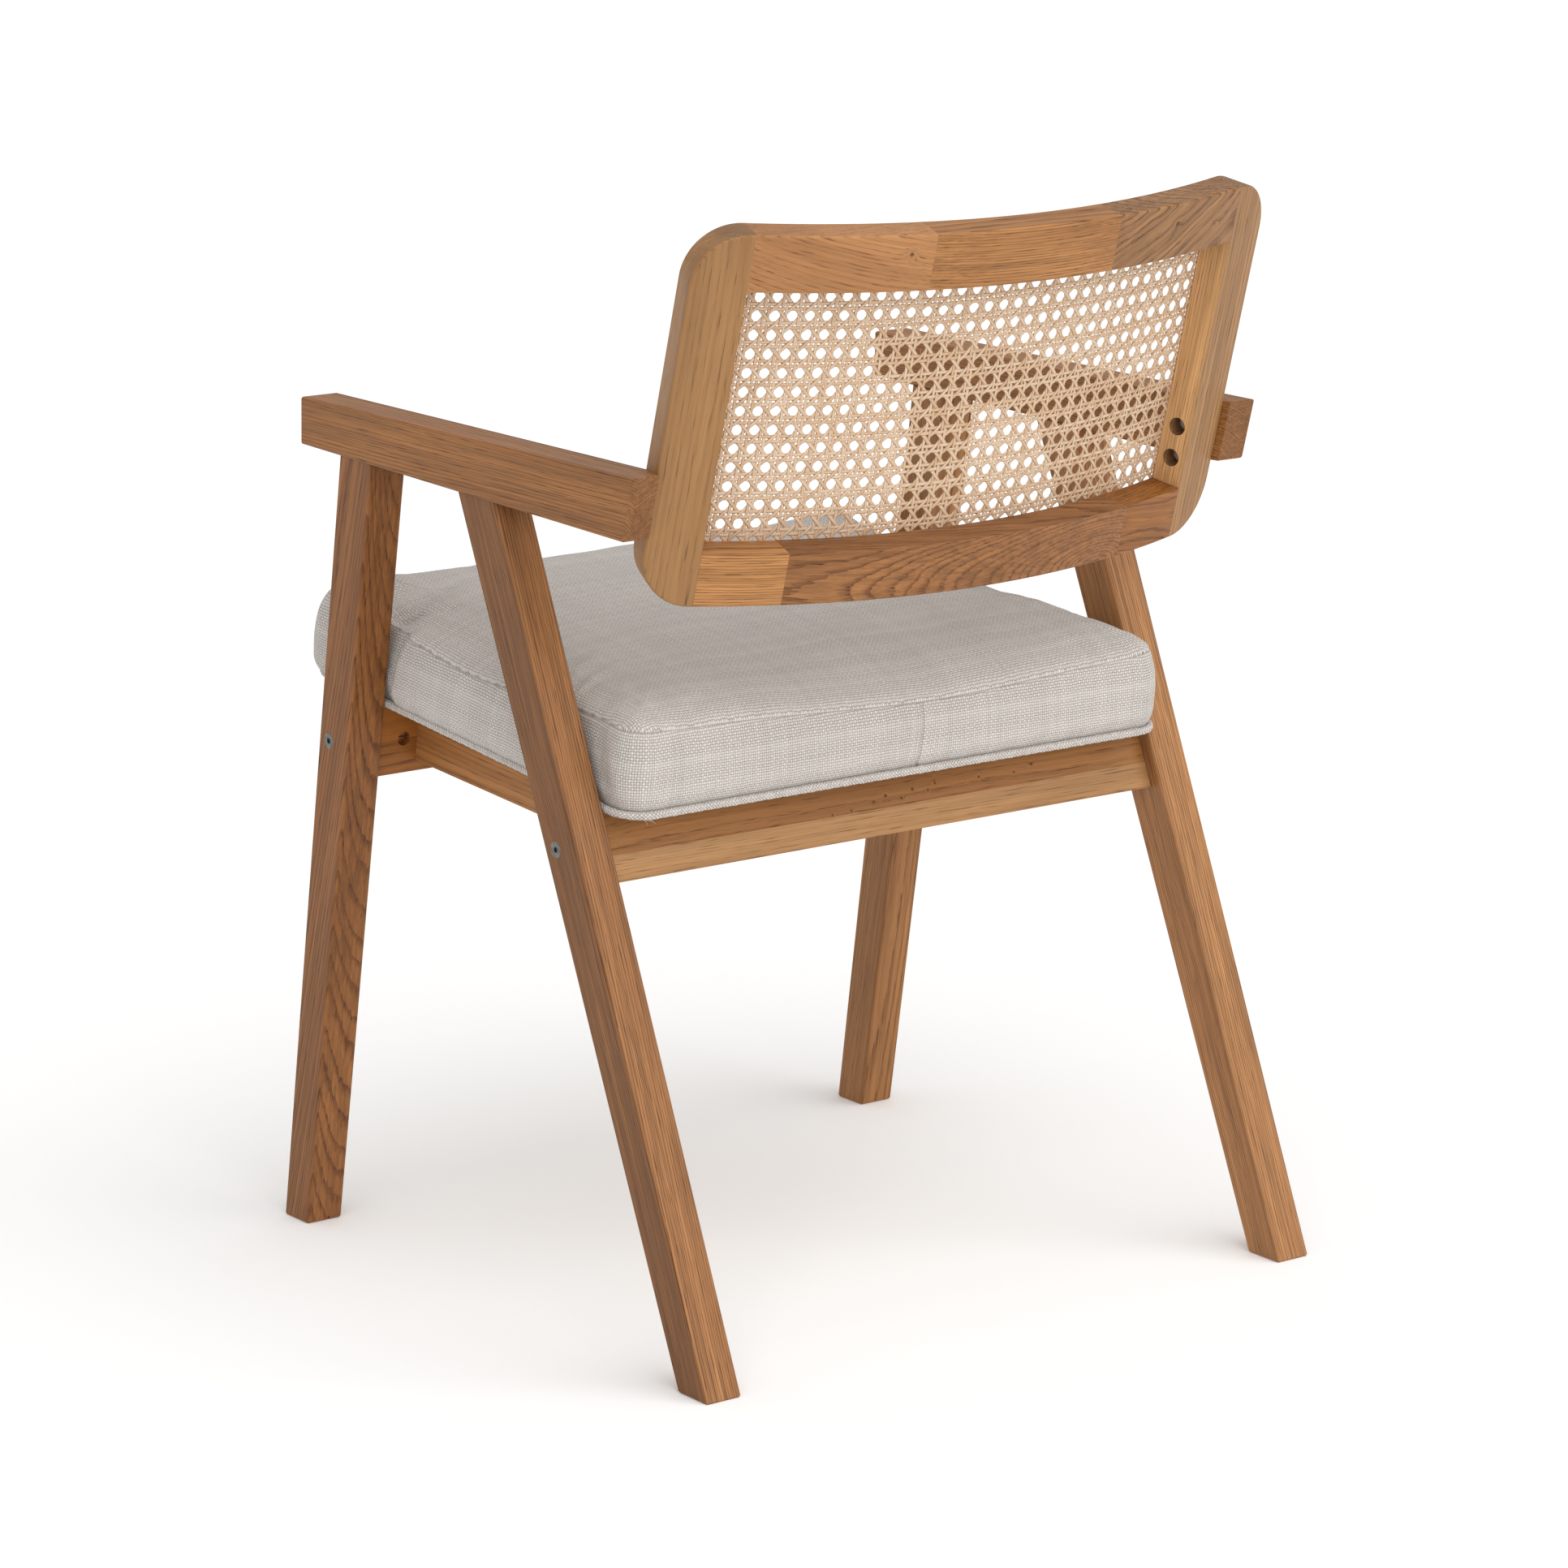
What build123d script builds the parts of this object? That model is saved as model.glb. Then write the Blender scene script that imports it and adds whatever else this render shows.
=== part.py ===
from build123d import *
import math
import os

# Wooden armchair with a cane back and an upholstered seat pad.
# Millimetres, +Z up. The sitter faces -Y; the sitter's left hand is on +X.
# The origin is on the floor, under the middle of the chair's overall box.

# ---- driving dimensions: side frames ----
LEG_INNER = 255.5            # inner faces of the legs, from the chair's centre plane
LEG_THICKNESS = 31.0         # across the chair
ARM_INNER = 255.5
ARM_WIDTH = 33.0             # the arm stands 2 mm proud of the legs on the outside
ARM_FACING = 6.5             # outer lamella glued to the arm's core
ARM_FRONT_Y = -228.3
ARM_END_Y = 170.9            # rear end, at mid height of the arm
ARM_END_Z = 618.0
# each long edge of a leg is (y on the floor, dy per mm of height)
FRONT_LEG_EDGES = ((-256.3, 0.1248), (-224.95, 0.1400))
REAR_LEG_EDGES = ((239.8, -0.4549), (273.5, -0.4372))
# faces of the arm are (height at y = 0, dz per mm of y)
ARM_TOP = (639.7, 0.009)
ARM_UNDERSIDE = (598.2, -0.0176)
EDGE_ROUND = 2.0             # softened edges of legs and arms
FOOT_BEVEL = 1.5

# ---- driving dimensions: backrest ----
BACK_FOOT_Y = 191.9          # rear surface at the centre of the bottom edge
BACK_FOOT_Z = 533.2
BACK_RECLINE = 13.7          # degrees
BACK_RADIUS = 779.4          # rear surface, concave towards the sitter
BACK_THICKNESS = 24.8
BACK_HEIGHT = 277.3
BACK_HALF_WIDTH = 262.8      # on the rear surface
OPENING_HALF_WIDTH = 222.1   # on the rear surface
TOP_RAIL_HEIGHT = 41.5
BOTTOM_RAIL_HEIGHT = 40.2
BACK_CORNER_RADIUS = 40.0
TOP_RAIL_GLUE_JOINTS = (6.2, -6.2)       # degrees about the back's axis, + is the left
BOTTOM_RAIL_GLUE_JOINTS = (11.6, -11.6)
CANE_THICKNESS = 1.2
CANE_MARGIN = 3.0            # cane that laps onto the frame, as far as the spline groove
GROOVE_WIDTH = 4.0
GROOVE_DEPTH = 6.0
SPLINE_CLEARANCE = 0.3
BOTTOM_RAIL_DOWELS = (12.0, 27.0)        # up the back from its bottom edge
TOP_RAIL_DOWELS = (249.8, 264.8)
BACK_SCREW_HEIGHTS = (60.4, 85.2)
BACK_SCREW_DEPTH = 12.0      # in front of the rear surface
BACK_SCREW_COUNTERBORE = 13.4
BACK_SCREW_SEAT = 14.0       # depth of the counterbore
BACK_SCREW_LENGTH = 46.0     # from the stile's inner side face to the tip
BACK_SCREW_DIAMETER = 5.0
BACK_SCREW_HEAD_DIAMETER = 10.0
BACK_SCREW_HEAD_HEIGHT = 3.0
BACK_SCREW_HEAD_ROUND = 1.2

# ---- driving dimensions: seat frame ----
SEAT_Z = 394.35              # top of the rails at y = 0
SEAT_SLOPE = 0.0892          # fall per mm towards the back
RAIL_THICKNESS = 28.0
FRONT_RAIL_BACK = (-178.0, 383.7, 0.13)      # y, z of a point on the rear face, dy per mm of height
FRONT_RAIL_BOTTOM_Z = 354.7
REAR_RAIL_BACK = (113.3, 336.4, -0.4408)
REAR_RAIL_BOTTOM_Z = 336.4
REAR_RAIL_GLUE_LINE = 18.0   # height of the lower strip, along the face
SIDE_RAIL_OUTER = 219.0
SIDE_RAIL_THICKNESS = 22.0
SIDE_RAIL_BOTTOM = (352.3, -0.0607)
CORNER_BLOCK_LEG = 52.0
CORNER_BLOCK_HEIGHT = 30.0
CORNER_BLOCK_END = 12.0      # width left at each end by the 45 degree cut
CORNER_SCREW_INSET = 19.0    # from both rails' inner faces

# ---- driving dimensions: fasteners ----
FRONT_BOLT = (-195.8, 383.7)             # y, z of the axis
REAR_BOLT = (89.6, 361.1)
BOLT_DIAMETER = 6.0
BOLT_HEAD_DIAMETER = 12.0
BOLT_HEAD_HEIGHT = 3.6
BOLT_HOLE_CLEARANCE = 0.25
BOLT_HEAD_CLEARANCE = 0.1
BOLT_HOLE_LENGTH = 62.0      # from the leg's outer face
SOCKET_ACROSS_FLATS = 4.0    # hexagon sockets of the bolts and the back's screws
SOCKET_DEPTH = 2.0
BARREL_NUT_X = 230.8
BARREL_NUT_DIAMETER = 10.0
BARREL_NUT_LENGTH = 20.0
BARREL_NUT_OFFSET = 2.0      # its middle lies this far from the bolt, towards the inner face
BARREL_NUT_CLEARANCE = 0.4
NUT_SLOT_WIDTH = 1.4
NUT_SLOT_DEPTH = 1.5
BOLT_PAST_NUT = 4.0          # from the nut's axis to the bolt's tip
DOWEL_DIAMETER = 8.0
DOWEL_LENGTH = 34.0
LEG_DOWEL_SPACING = 20.0
SEAT_DOWEL_LENGTH = 28.0
RAIL_DOWEL_DROP = 17.0       # below the bolt beside it
SIDE_RAIL_DOWEL_DROPS = (13.0, 29.0)     # below the seat plane
SCREW_DIAMETER = 4.0
SCREW_HEAD_DIAMETER = 8.0
SCREW_HEAD_HEIGHT = 3.0
SCREW_HEAD_TAPER = 33.0      # degrees
SCREW_BITE = 7.0             # into the seat board

# ---- driving dimensions: seat pad ----
PAD_HALF_WIDTH = 254.6       # just clear of the legs
PAD_FRONT = -274.2           # along the seat plane
PAD_REAR = 131.0
PAD_HEIGHT = 66.0
PAD_WIDEST = 0.42            # share of the height at which the sides bulge out most
PAD_CORNER_RADIUS = 26.0
PAD_BOTTOM_INSET = 6.0       # the sides bulge out above the bottom edge
PAD_TOP_INSET = 7.0
COVER_THICKNESS = 1.5
COVER_HEM = 34.0             # cloth turned under the board and stapled
BOARD_THICKNESS = 12.0
BOARD_CLEARANCE = 1.0        # between the board's edge and the cover
PIPING_DIAMETER = 6.0

BEYOND = 30.0                # how far cutting tools reach past the pieces they cut


# ---- helpers ----
def across(outline, low_x, high_x):
    """Solid with the given (y, z) outline, from low_x to high_x across the chair."""
    face = Plane.YZ.offset(low_x) * make_face(Polyline(*outline, close=True))
    return extrude(face, amount=high_x - low_x, dir=(1, 0, 0))


def other_side(shape):
    """The same piece on the sitter's right."""
    return mirror(shape, about=Plane.YZ)


def both_sides(shapes):
    """Left-hand shapes and their mirror images, as one list."""
    return shapes + [other_side(shape) for shape in shapes]


def meet(edge, face_line):
    """Where a leg edge (y0, dy/dz) meets a sloping line (z0, dz/dy)."""
    y_floor, lean = edge
    z_start, rise = face_line
    z = (z_start + rise * y_floor) / (1 - rise * lean)
    return (y_floor + lean * z, z)


def peg(start, direction, radius, length):
    """Cylinder from a start point along a direction."""
    return extrude(Plane(origin=start, z_dir=direction) * Circle(radius), amount=length)


def centred_peg(middle, direction, radius, length):
    """Cylinder with its middle at a point."""
    unit = Vector(*direction).normalized()
    return peg(Vector(*middle) - unit * (length / 2), unit, radius, length)


def pin(radius, low, high):
    """Cylinder on the local z axis, between two heights."""
    return Pos(0, 0, low) * Cylinder(radius, high - low, align=(Align.CENTER, Align.CENTER, Align.MIN))


def hexagon(across_flats):
    return RegularPolygon(across_flats / math.sqrt(3), 6)


def drill(solid, tools):
    """Cut a list of tools out of a solid."""
    for tool in tools:
        solid = solid - tool
    return solid


def save(node, shape):
    """Write one node; a list becomes a group of separate solids."""
    if isinstance(shape, list):
        shape = Compound(children=[piece.solid() for piece in shape])
    export_step(shape, f"parts/{node}.step")


# ---- side frames ----
def leg(edges):
    """Tapered leg, cut level at the floor and to the arm's underside at the top."""
    front_edge, rear_edge = edges
    outline = [
        (front_edge[0], 0.0),
        (rear_edge[0], 0.0),
        meet(rear_edge, ARM_UNDERSIDE),
        meet(front_edge, ARM_UNDERSIDE),
    ]
    blank = across(outline, LEG_INNER, LEG_INNER + LEG_THICKNESS)
    long_edges = [edge for edge in blank.edges() if edge.length > 500]
    blank = fillet(long_edges, EDGE_ROUND)
    return chamfer(blank.faces().sort_by(Axis.Z)[0].edges(), FOOT_BEVEL)


def leg_axis(edges):
    """Point where a leg's centre line meets the arm, and its direction upwards."""
    (front_y, front_lean), (rear_y, rear_lean) = edges
    centre_edge = ((front_y + rear_y) / 2, (front_lean + rear_lean) / 2)
    y, z = meet(centre_edge, ARM_UNDERSIDE)
    return (LEG_INNER + LEG_THICKNESS / 2, y, z), (0, centre_edge[1], 1)


def leg_top_dowels():
    """Two dowels in each joint between a leg and the arm, on the left side."""
    dowels = []
    for edges in (FRONT_LEG_EDGES, REAR_LEG_EDGES):
        (x, y, z), direction = leg_axis(edges)
        for offset in (-LEG_DOWEL_SPACING / 2, LEG_DOWEL_SPACING / 2):
            dowels.append(centred_peg((x, y + offset, z), direction, DOWEL_DIAMETER / 2, DOWEL_LENGTH))
    return dowels


def arm():
    """Straight arm: deeper at the rear, where its end follows the back's recline."""
    lean = math.tan(math.radians(BACK_RECLINE))
    end_edge = (ARM_END_Y - lean * ARM_END_Z, lean)
    front_edge = (ARM_FRONT_Y, 0.0)
    outline = [meet(front_edge, ARM_UNDERSIDE), meet(end_edge, ARM_UNDERSIDE),
               meet(end_edge, ARM_TOP), meet(front_edge, ARM_TOP)]
    blank = across(outline, ARM_INNER, ARM_INNER + ARM_WIDTH)
    blank = fillet(blank.edges().filter_by(lambda edge: edge.length > 300), EDGE_ROUND)
    # the inner side of the rear end is bevelled to lie flat on the backrest's stile
    return blank - back_sector(FRONT_FACE - 2 * BEYOND, 2 * BEYOND, -SIDE_ANGLE, SIDE_ANGLE,
                               -2 * BEYOND, BACK_HEIGHT)


# ---- backrest ----
# local frame: x across, y rearwards at right angles to the back, z up along the back
BACK = Plane(
    origin=(0, BACK_FOOT_Y, BACK_FOOT_Z),
    x_dir=(1, 0, 0),
    z_dir=(0, math.sin(math.radians(BACK_RECLINE)), math.cos(math.radians(BACK_RECLINE))),
)
SIDE_ANGLE = math.degrees(math.asin(BACK_HALF_WIDTH / BACK_RADIUS))
OPENING_ANGLE = math.degrees(math.asin(OPENING_HALF_WIDTH / BACK_RADIUS))
OPENING_TOP = BACK_HEIGHT - TOP_RAIL_HEIGHT
FRONT_FACE = -BACK_THICKNESS


def back_point(angle, depth):
    """Point in the back's cross-section; depth 0 is the rear surface, + is rearwards."""
    turn = math.radians(angle)
    radius = BACK_RADIUS + depth
    return (radius * math.sin(turn), radius * math.cos(turn) - BACK_RADIUS)


def back_sector(depth_low, depth_high, angle_low, angle_high, z_low, z_high):
    """Curved block of the back between two depths, two angles and two heights."""
    middle = (angle_low + angle_high) / 2
    inner = ThreePointArc(*[back_point(angle, depth_low) for angle in (angle_low, middle, angle_high)])
    outer = ThreePointArc(*[back_point(angle, depth_high) for angle in (angle_high, middle, angle_low)])
    face = make_face([inner, Line(inner @ 1, outer @ 0), outer, Line(outer @ 1, inner @ 0)])
    block = extrude(Pos(0, 0, z_low) * face, amount=z_high - z_low, dir=(0, 0, 1))
    return BACK * block


def back_ring(depth_low, depth_high, inner_margin, outer_margin):
    """Band round the opening, between two margins outside its edge."""
    blocks = []
    for margin in (outer_margin, inner_margin):
        angle = OPENING_ANGLE + math.degrees(margin / BACK_RADIUS)
        blocks.append(back_sector(depth_low, depth_high, -angle, angle,
                                  BOTTOM_RAIL_HEIGHT - margin, OPENING_TOP + margin))
    return blocks[0] - blocks[1]


def back_frame():
    """Whole curved frame with rounded corners, its opening, cane recess and spline groove."""
    slab = back_sector(FRONT_FACE, 0.0, -SIDE_ANGLE, SIDE_ANGLE, 0.0, BACK_HEIGHT)
    corner_edges = [edge for edge in slab.edges() if edge.length < BACK_THICKNESS + 1]
    slab = fillet(corner_edges, BACK_CORNER_RADIUS)
    rim = [edge for face in slab.faces().filter_by(GeomType.CYLINDER).sort_by(SortBy.AREA)[-2:]
           for edge in face.edges()]
    slab = fillet(rim, EDGE_ROUND)
    tool_front = FRONT_FACE - BEYOND
    opening = back_sector(tool_front, BEYOND, -OPENING_ANGLE, OPENING_ANGLE, BOTTOM_RAIL_HEIGHT, OPENING_TOP)
    recess = back_ring(tool_front, FRONT_FACE + CANE_THICKNESS, 0.0, CANE_MARGIN + GROOVE_WIDTH)
    groove = back_ring(tool_front, FRONT_FACE + GROOVE_DEPTH, CANE_MARGIN, CANE_MARGIN + GROOVE_WIDTH)
    return slab - opening - recess - groove


def rail_dowels():
    """Dowels between the left stile and the two rails."""
    dowels = []
    x, depth = back_point(OPENING_ANGLE, -BACK_THICKNESS / 2)
    turn = math.radians(OPENING_ANGLE)
    tangent = (math.cos(turn), -math.sin(turn))
    # the far end of a dowel follows the tangent, so it stays inside the curved rail
    for height in BOTTOM_RAIL_DOWELS + TOP_RAIL_DOWELS:
        middle = BACK.from_local_coords(Vector(x, depth, height))
        direction = BACK.from_local_coords(Vector(x + tangent[0], depth + tangent[1], height)) - middle
        dowels.append(centred_peg(middle, direction, DOWEL_DIAMETER / 2, DOWEL_LENGTH))
    return dowels


def back_screw_frames():
    """Planes on the left stile's inner side face, pointing outwards to the arm."""
    turn = math.radians(OPENING_ANGLE)
    x, depth = back_point(OPENING_ANGLE, -BACK_SCREW_DEPTH)
    frames = []
    for height in BACK_SCREW_HEIGHTS:
        start = BACK.from_local_coords(Vector(x, depth, height))
        ahead = BACK.from_local_coords(Vector(x + math.cos(turn), depth - math.sin(turn), height))
        frames.append(Plane(origin=start, z_dir=ahead - start))
    return frames


def back_screw(frame):
    """Pan-head screw: head at the bottom of its counterbore, shank through to the arm."""
    head_top = BACK_SCREW_SEAT - BACK_SCREW_HEAD_HEIGHT
    head = pin(BACK_SCREW_HEAD_DIAMETER / 2, head_top, BACK_SCREW_SEAT)
    head = fillet(head.edges().sort_by(Axis.Z)[0], BACK_SCREW_HEAD_ROUND)
    socket = Pos(0, 0, head_top) * extrude(hexagon(SOCKET_ACROSS_FLATS), amount=SOCKET_DEPTH)
    shank = pin(BACK_SCREW_DIAMETER / 2, BACK_SCREW_SEAT, BACK_SCREW_LENGTH)
    return frame * (head + shank - socket)


def back_screw_holes(frame):
    """Counterbore and shank hole for one screw."""
    counterbore = pin(BACK_SCREW_COUNTERBORE / 2, -BEYOND / 3, BACK_SCREW_SEAT)
    shank = pin(BACK_SCREW_DIAMETER / 2, 0.0, BACK_SCREW_LENGTH)
    return frame * (counterbore + shank)


# ---- seat frame ----
def seat_height(y):
    return SEAT_Z - SEAT_SLOPE * y


def face_y(face, z):
    """y of a rail face (y, z, dy/dz) at height z."""
    return face[0] + face[2] * (z - face[1])


def face_meets_seat(face):
    """Point where a leaning rail face meets the seat plane."""
    y_floor = face_y(face, 0.0)
    return meet((y_floor, face[2]), (SEAT_Z, -SEAT_SLOPE))


def shifted(face, thickness):
    """The parallel face, a thickness further back, measured square to the face."""
    return (face[0] + thickness * math.hypot(1.0, face[2]), face[1], face[2])


FRONT_RAIL_FRONT = shifted(FRONT_RAIL_BACK, -RAIL_THICKNESS)
REAR_RAIL_FRONT = shifted(REAR_RAIL_BACK, -RAIL_THICKNESS)
LEFT_BOLTS = ((FRONT_BOLT, FRONT_RAIL_BACK), (REAR_BOLT, REAR_RAIL_BACK))


def cross_rail(front_face, back_face, z_low, z_high=None):
    """Rail between the legs, leaning like them; without z_high it reaches the seat plane."""
    low = [(face_y(face, z_low), z_low) for face in (front_face, back_face)]
    if z_high is None:
        high = [face_meets_seat(back_face), face_meets_seat(front_face)]
    else:
        high = [(face_y(face, z_high), z_high) for face in (back_face, front_face)]
    return across(low + high, -LEG_INNER, LEG_INNER)


def side_rail():
    """Left side rail, from the front rail's rear face to the rear rail's front face."""
    front_low = meet((face_y(FRONT_RAIL_BACK, 0.0), FRONT_RAIL_BACK[2]), SIDE_RAIL_BOTTOM)
    rear_low = meet((face_y(REAR_RAIL_FRONT, 0.0), REAR_RAIL_FRONT[2]), SIDE_RAIL_BOTTOM)
    outline = [front_low, rear_low, face_meets_seat(REAR_RAIL_FRONT), face_meets_seat(FRONT_RAIL_BACK)]
    return across(outline, SIDE_RAIL_OUTER - SIDE_RAIL_THICKNESS, SIDE_RAIL_OUTER)


def corner_block(front):
    """Glue block in a left inner corner of the seat frame, flush with the rails' top."""
    corner_x = SIDE_RAIL_OUTER - SIDE_RAIL_THICKNESS
    face, inward = (FRONT_RAIL_BACK, 1.0) if front else (REAR_RAIL_FRONT, -1.0)
    corner_y, corner_z = face_meets_seat(face)
    far_x = corner_x - CORNER_BLOCK_LEG
    far_y = corner_y + inward * CORNER_BLOCK_LEG
    low_z = corner_z - CORNER_BLOCK_HEIGHT
    outline = [(corner_y, corner_z), (face_y(face, low_z), low_z),
               (far_y, low_z), (far_y, seat_height(far_y))]
    block = across(outline, far_x, corner_x)
    # the inner corner is cut away at 45 degrees
    cut = make_face(Polyline(
        (far_x, corner_y + inward * CORNER_BLOCK_END),
        (corner_x - CORNER_BLOCK_END, far_y),
        (far_x - BEYOND, far_y + inward * BEYOND),
        close=True,
    ))
    cut_height = CORNER_BLOCK_HEIGHT + 2 * BEYOND
    return block - extrude(Pos(0, 0, low_z - BEYOND) * cut, amount=cut_height, dir=(0, 0, 1))


def corner_block_screw(front):
    """Countersunk screw up through a corner block into the seat board."""
    face, inward = (FRONT_RAIL_BACK, 1.0) if front else (REAR_RAIL_FRONT, -1.0)
    corner_y, corner_z = face_meets_seat(face)
    start = (SIDE_RAIL_OUTER - SIDE_RAIL_THICKNESS - CORNER_SCREW_INSET,
             corner_y + inward * CORNER_SCREW_INSET,
             corner_z - CORNER_BLOCK_HEIGHT)
    rim = Plane(origin=start) * Circle(SCREW_HEAD_DIAMETER / 2)
    head = extrude(rim, amount=SCREW_HEAD_HEIGHT, taper=SCREW_HEAD_TAPER)
    return head + peg(start, (0, 0, 1), SCREW_DIAMETER / 2, CORNER_BLOCK_HEIGHT + SCREW_BITE)


def bolt_head(axis, clearance):
    """Conical head, flush with the leg's outer face."""
    y, z = axis
    base = Plane(origin=(LEG_INNER + LEG_THICKNESS, y, z), z_dir=(-1, 0, 0))
    rim = base * Circle(BOLT_HEAD_DIAMETER / 2 + clearance)
    neck = base.offset(BOLT_HEAD_HEIGHT) * Circle(BOLT_DIAMETER / 2 + clearance)
    return loft([rim, neck])


def bolt(axis):
    """Countersunk socket bolt through the left leg into its barrel nut."""
    start = (LEG_INNER + LEG_THICKNESS, *axis)
    length = LEG_INNER + LEG_THICKNESS - BARREL_NUT_X + BOLT_PAST_NUT
    shank = peg(start, (-1, 0, 0), BOLT_DIAMETER / 2, length)
    inward = Plane(origin=start, z_dir=(-1, 0, 0))
    socket = extrude(inward * hexagon(SOCKET_ACROSS_FLATS), amount=SOCKET_DEPTH)
    return shank + bolt_head(axis, 0.0) - socket


def bolt_hole(axis):
    """Countersunk clearance hole for a bolt, from the leg to past the barrel nut."""
    start = (LEG_INNER + LEG_THICKNESS, *axis)
    hole = peg(start, (-1, 0, 0), BOLT_DIAMETER / 2 + BOLT_HOLE_CLEARANCE, BOLT_HOLE_LENGTH)
    return hole + bolt_head(axis, BOLT_HEAD_CLEARANCE)


def barrel_nut_plane(axis, face):
    """Plane at a bolt's axis and a barrel nut's x, pointing out of the rail's inner face."""
    square = (0, 1, -face[2]) if face is FRONT_RAIL_BACK else (0, -1, face[2])
    return Plane(origin=(BARREL_NUT_X, *axis), z_dir=square)


def barrel_nut(axis, face):
    """Cross dowel with a screwdriver slot in the end that shows."""
    low = BARREL_NUT_OFFSET - BARREL_NUT_LENGTH / 2
    high = BARREL_NUT_OFFSET + BARREL_NUT_LENGTH / 2
    body = pin(BARREL_NUT_DIAMETER / 2, low, high)
    slot = Pos(0, 0, high) * Box(NUT_SLOT_WIDTH, 2 * BARREL_NUT_DIAMETER, 2 * NUT_SLOT_DEPTH)
    thread = centred_peg((BARREL_NUT_X, *axis), (1, 0, 0), BOLT_DIAMETER / 2, 2 * BARREL_NUT_LENGTH)
    return barrel_nut_plane(axis, face) * (body - slot) - thread


def barrel_nut_hole(axis, face):
    """Blind hole from the rail's inner face."""
    low = BARREL_NUT_OFFSET - BARREL_NUT_LENGTH / 2
    radius = BARREL_NUT_DIAMETER / 2 + BARREL_NUT_CLEARANCE
    return barrel_nut_plane(axis, face) * pin(radius, low, BARREL_NUT_LENGTH + BEYOND)


def seat_dowels():
    """Locating dowels beside the bolts, and the dowels at the ends of the left side rail."""
    radius = DOWEL_DIAMETER / 2
    dowels = []
    for (y, z), face in LEFT_BOLTS:
        middle = (LEG_INNER, y - face[2] * RAIL_DOWEL_DROP, z - RAIL_DOWEL_DROP)
        dowels.append(centred_peg(middle, (1, 0, 0), radius, SEAT_DOWEL_LENGTH))
    middle_x = SIDE_RAIL_OUTER - SIDE_RAIL_THICKNESS / 2
    for face in (FRONT_RAIL_BACK, REAR_RAIL_FRONT):
        for drop in SIDE_RAIL_DOWEL_DROPS:
            z = face_meets_seat(face)[1] - drop
            middle = (middle_x, face_y(face, z), z)
            dowels.append(centred_peg(middle, (0, 1, SIDE_RAIL_BOTTOM[1]), radius, SEAT_DOWEL_LENGTH))
    return dowels


# ---- seat pad ----
SEAT_LEAN = math.atan(SEAT_SLOPE)
SEAT = Plane(origin=(0, 0, SEAT_Z), x_dir=(1, 0, 0), z_dir=(0, math.sin(SEAT_LEAN), math.cos(SEAT_LEAN)))
PAD_LENGTH = PAD_REAR - PAD_FRONT
PAD_MIDDLE = (PAD_REAR + PAD_FRONT) / 2


def pad_outline(inset, height):
    """Rounded rectangle of the pad at a height above the rails, drawn in by an inset."""
    outline = RectangleRounded(2 * (PAD_HALF_WIDTH - inset), PAD_LENGTH - 2 * inset,
                               PAD_CORNER_RADIUS - inset / 2)
    return SEAT * (Pos(0, PAD_MIDDLE, height) * outline)


def pad_body(inset):
    """Closed body of the pad with softly bulging sides; inset draws every face in."""
    sections = [
        pad_outline(PAD_BOTTOM_INSET + inset, inset),
        pad_outline(inset, PAD_HEIGHT * PAD_WIDEST),
        pad_outline(PAD_TOP_INSET + inset, PAD_HEIGHT - inset),
    ]
    return loft(sections)


def seat_board():
    """Plywood board that carries the foam."""
    inset = PAD_BOTTOM_INSET + COVER_THICKNESS + BOARD_CLEARANCE
    return extrude(pad_outline(inset, COVER_THICKNESS), amount=BOARD_THICKNESS, dir=SEAT.z_dir)


def seat_foam():
    """Foam block on the board."""
    body = pad_body(COVER_THICKNESS)
    board_top = COVER_THICKNESS + BOARD_THICKNESS
    below = extrude(pad_outline(-BEYOND, -BEYOND), amount=BEYOND + board_top, dir=SEAT.z_dir)
    return body - below


def seat_cover():
    """Cloth cover: sides, top and the hem under the board."""
    window = extrude(pad_outline(COVER_HEM, -BEYOND / 2), amount=BEYOND, dir=SEAT.z_dir)
    return pad_body(0.0) - pad_body(COVER_THICKNESS) - window


def seat_piping():
    """Corded edging round the bottom of the pad."""
    inset = PAD_BOTTOM_INSET - PIPING_DIAMETER / 2
    path = pad_outline(inset, PIPING_DIAMETER / 2).wire()
    start = path @ 0
    section = Plane(origin=start, z_dir=path % 0) * Circle(PIPING_DIAMETER / 2)
    return sweep(section, path=path)


# ---- build every node ----
os.makedirs("parts", exist_ok=True)

leg_dowels = leg_top_dowels()
frame_dowels = seat_dowels()
screw_frames = back_screw_frames()
screw_tools = [back_screw_holes(frame) for frame in screw_frames]
bolt_tools = [bolt_hole(axis) for axis, face in LEFT_BOLTS]
nut_tools = [barrel_nut_hole(axis, face) for axis, face in LEFT_BOLTS]

front_leg = drill(leg(FRONT_LEG_EDGES), leg_dowels[:2] + [bolt_tools[0], frame_dowels[0]])
rear_leg = drill(leg(REAR_LEG_EDGES), leg_dowels[2:] + [bolt_tools[1], frame_dowels[1]])
whole_arm = drill(arm(), leg_dowels + screw_tools)
facing_box = Box(2 * ARM_FACING, 2 * ARM_END_Z, 2 * ARM_END_Z)
facing_zone = Pos(ARM_INNER + ARM_WIDTH, 0, ARM_END_Z) * facing_box
for node, shape in (
    ("front_leg", front_leg),
    ("rear_leg", rear_leg),
    ("arm", whole_arm - facing_zone),
    ("arm_facing", whole_arm & facing_zone),
):
    save(f"{node}_left", shape)
    save(f"{node}_right", other_side(shape))
save("leg_top_dowels", both_sides(leg_dowels))

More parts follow.
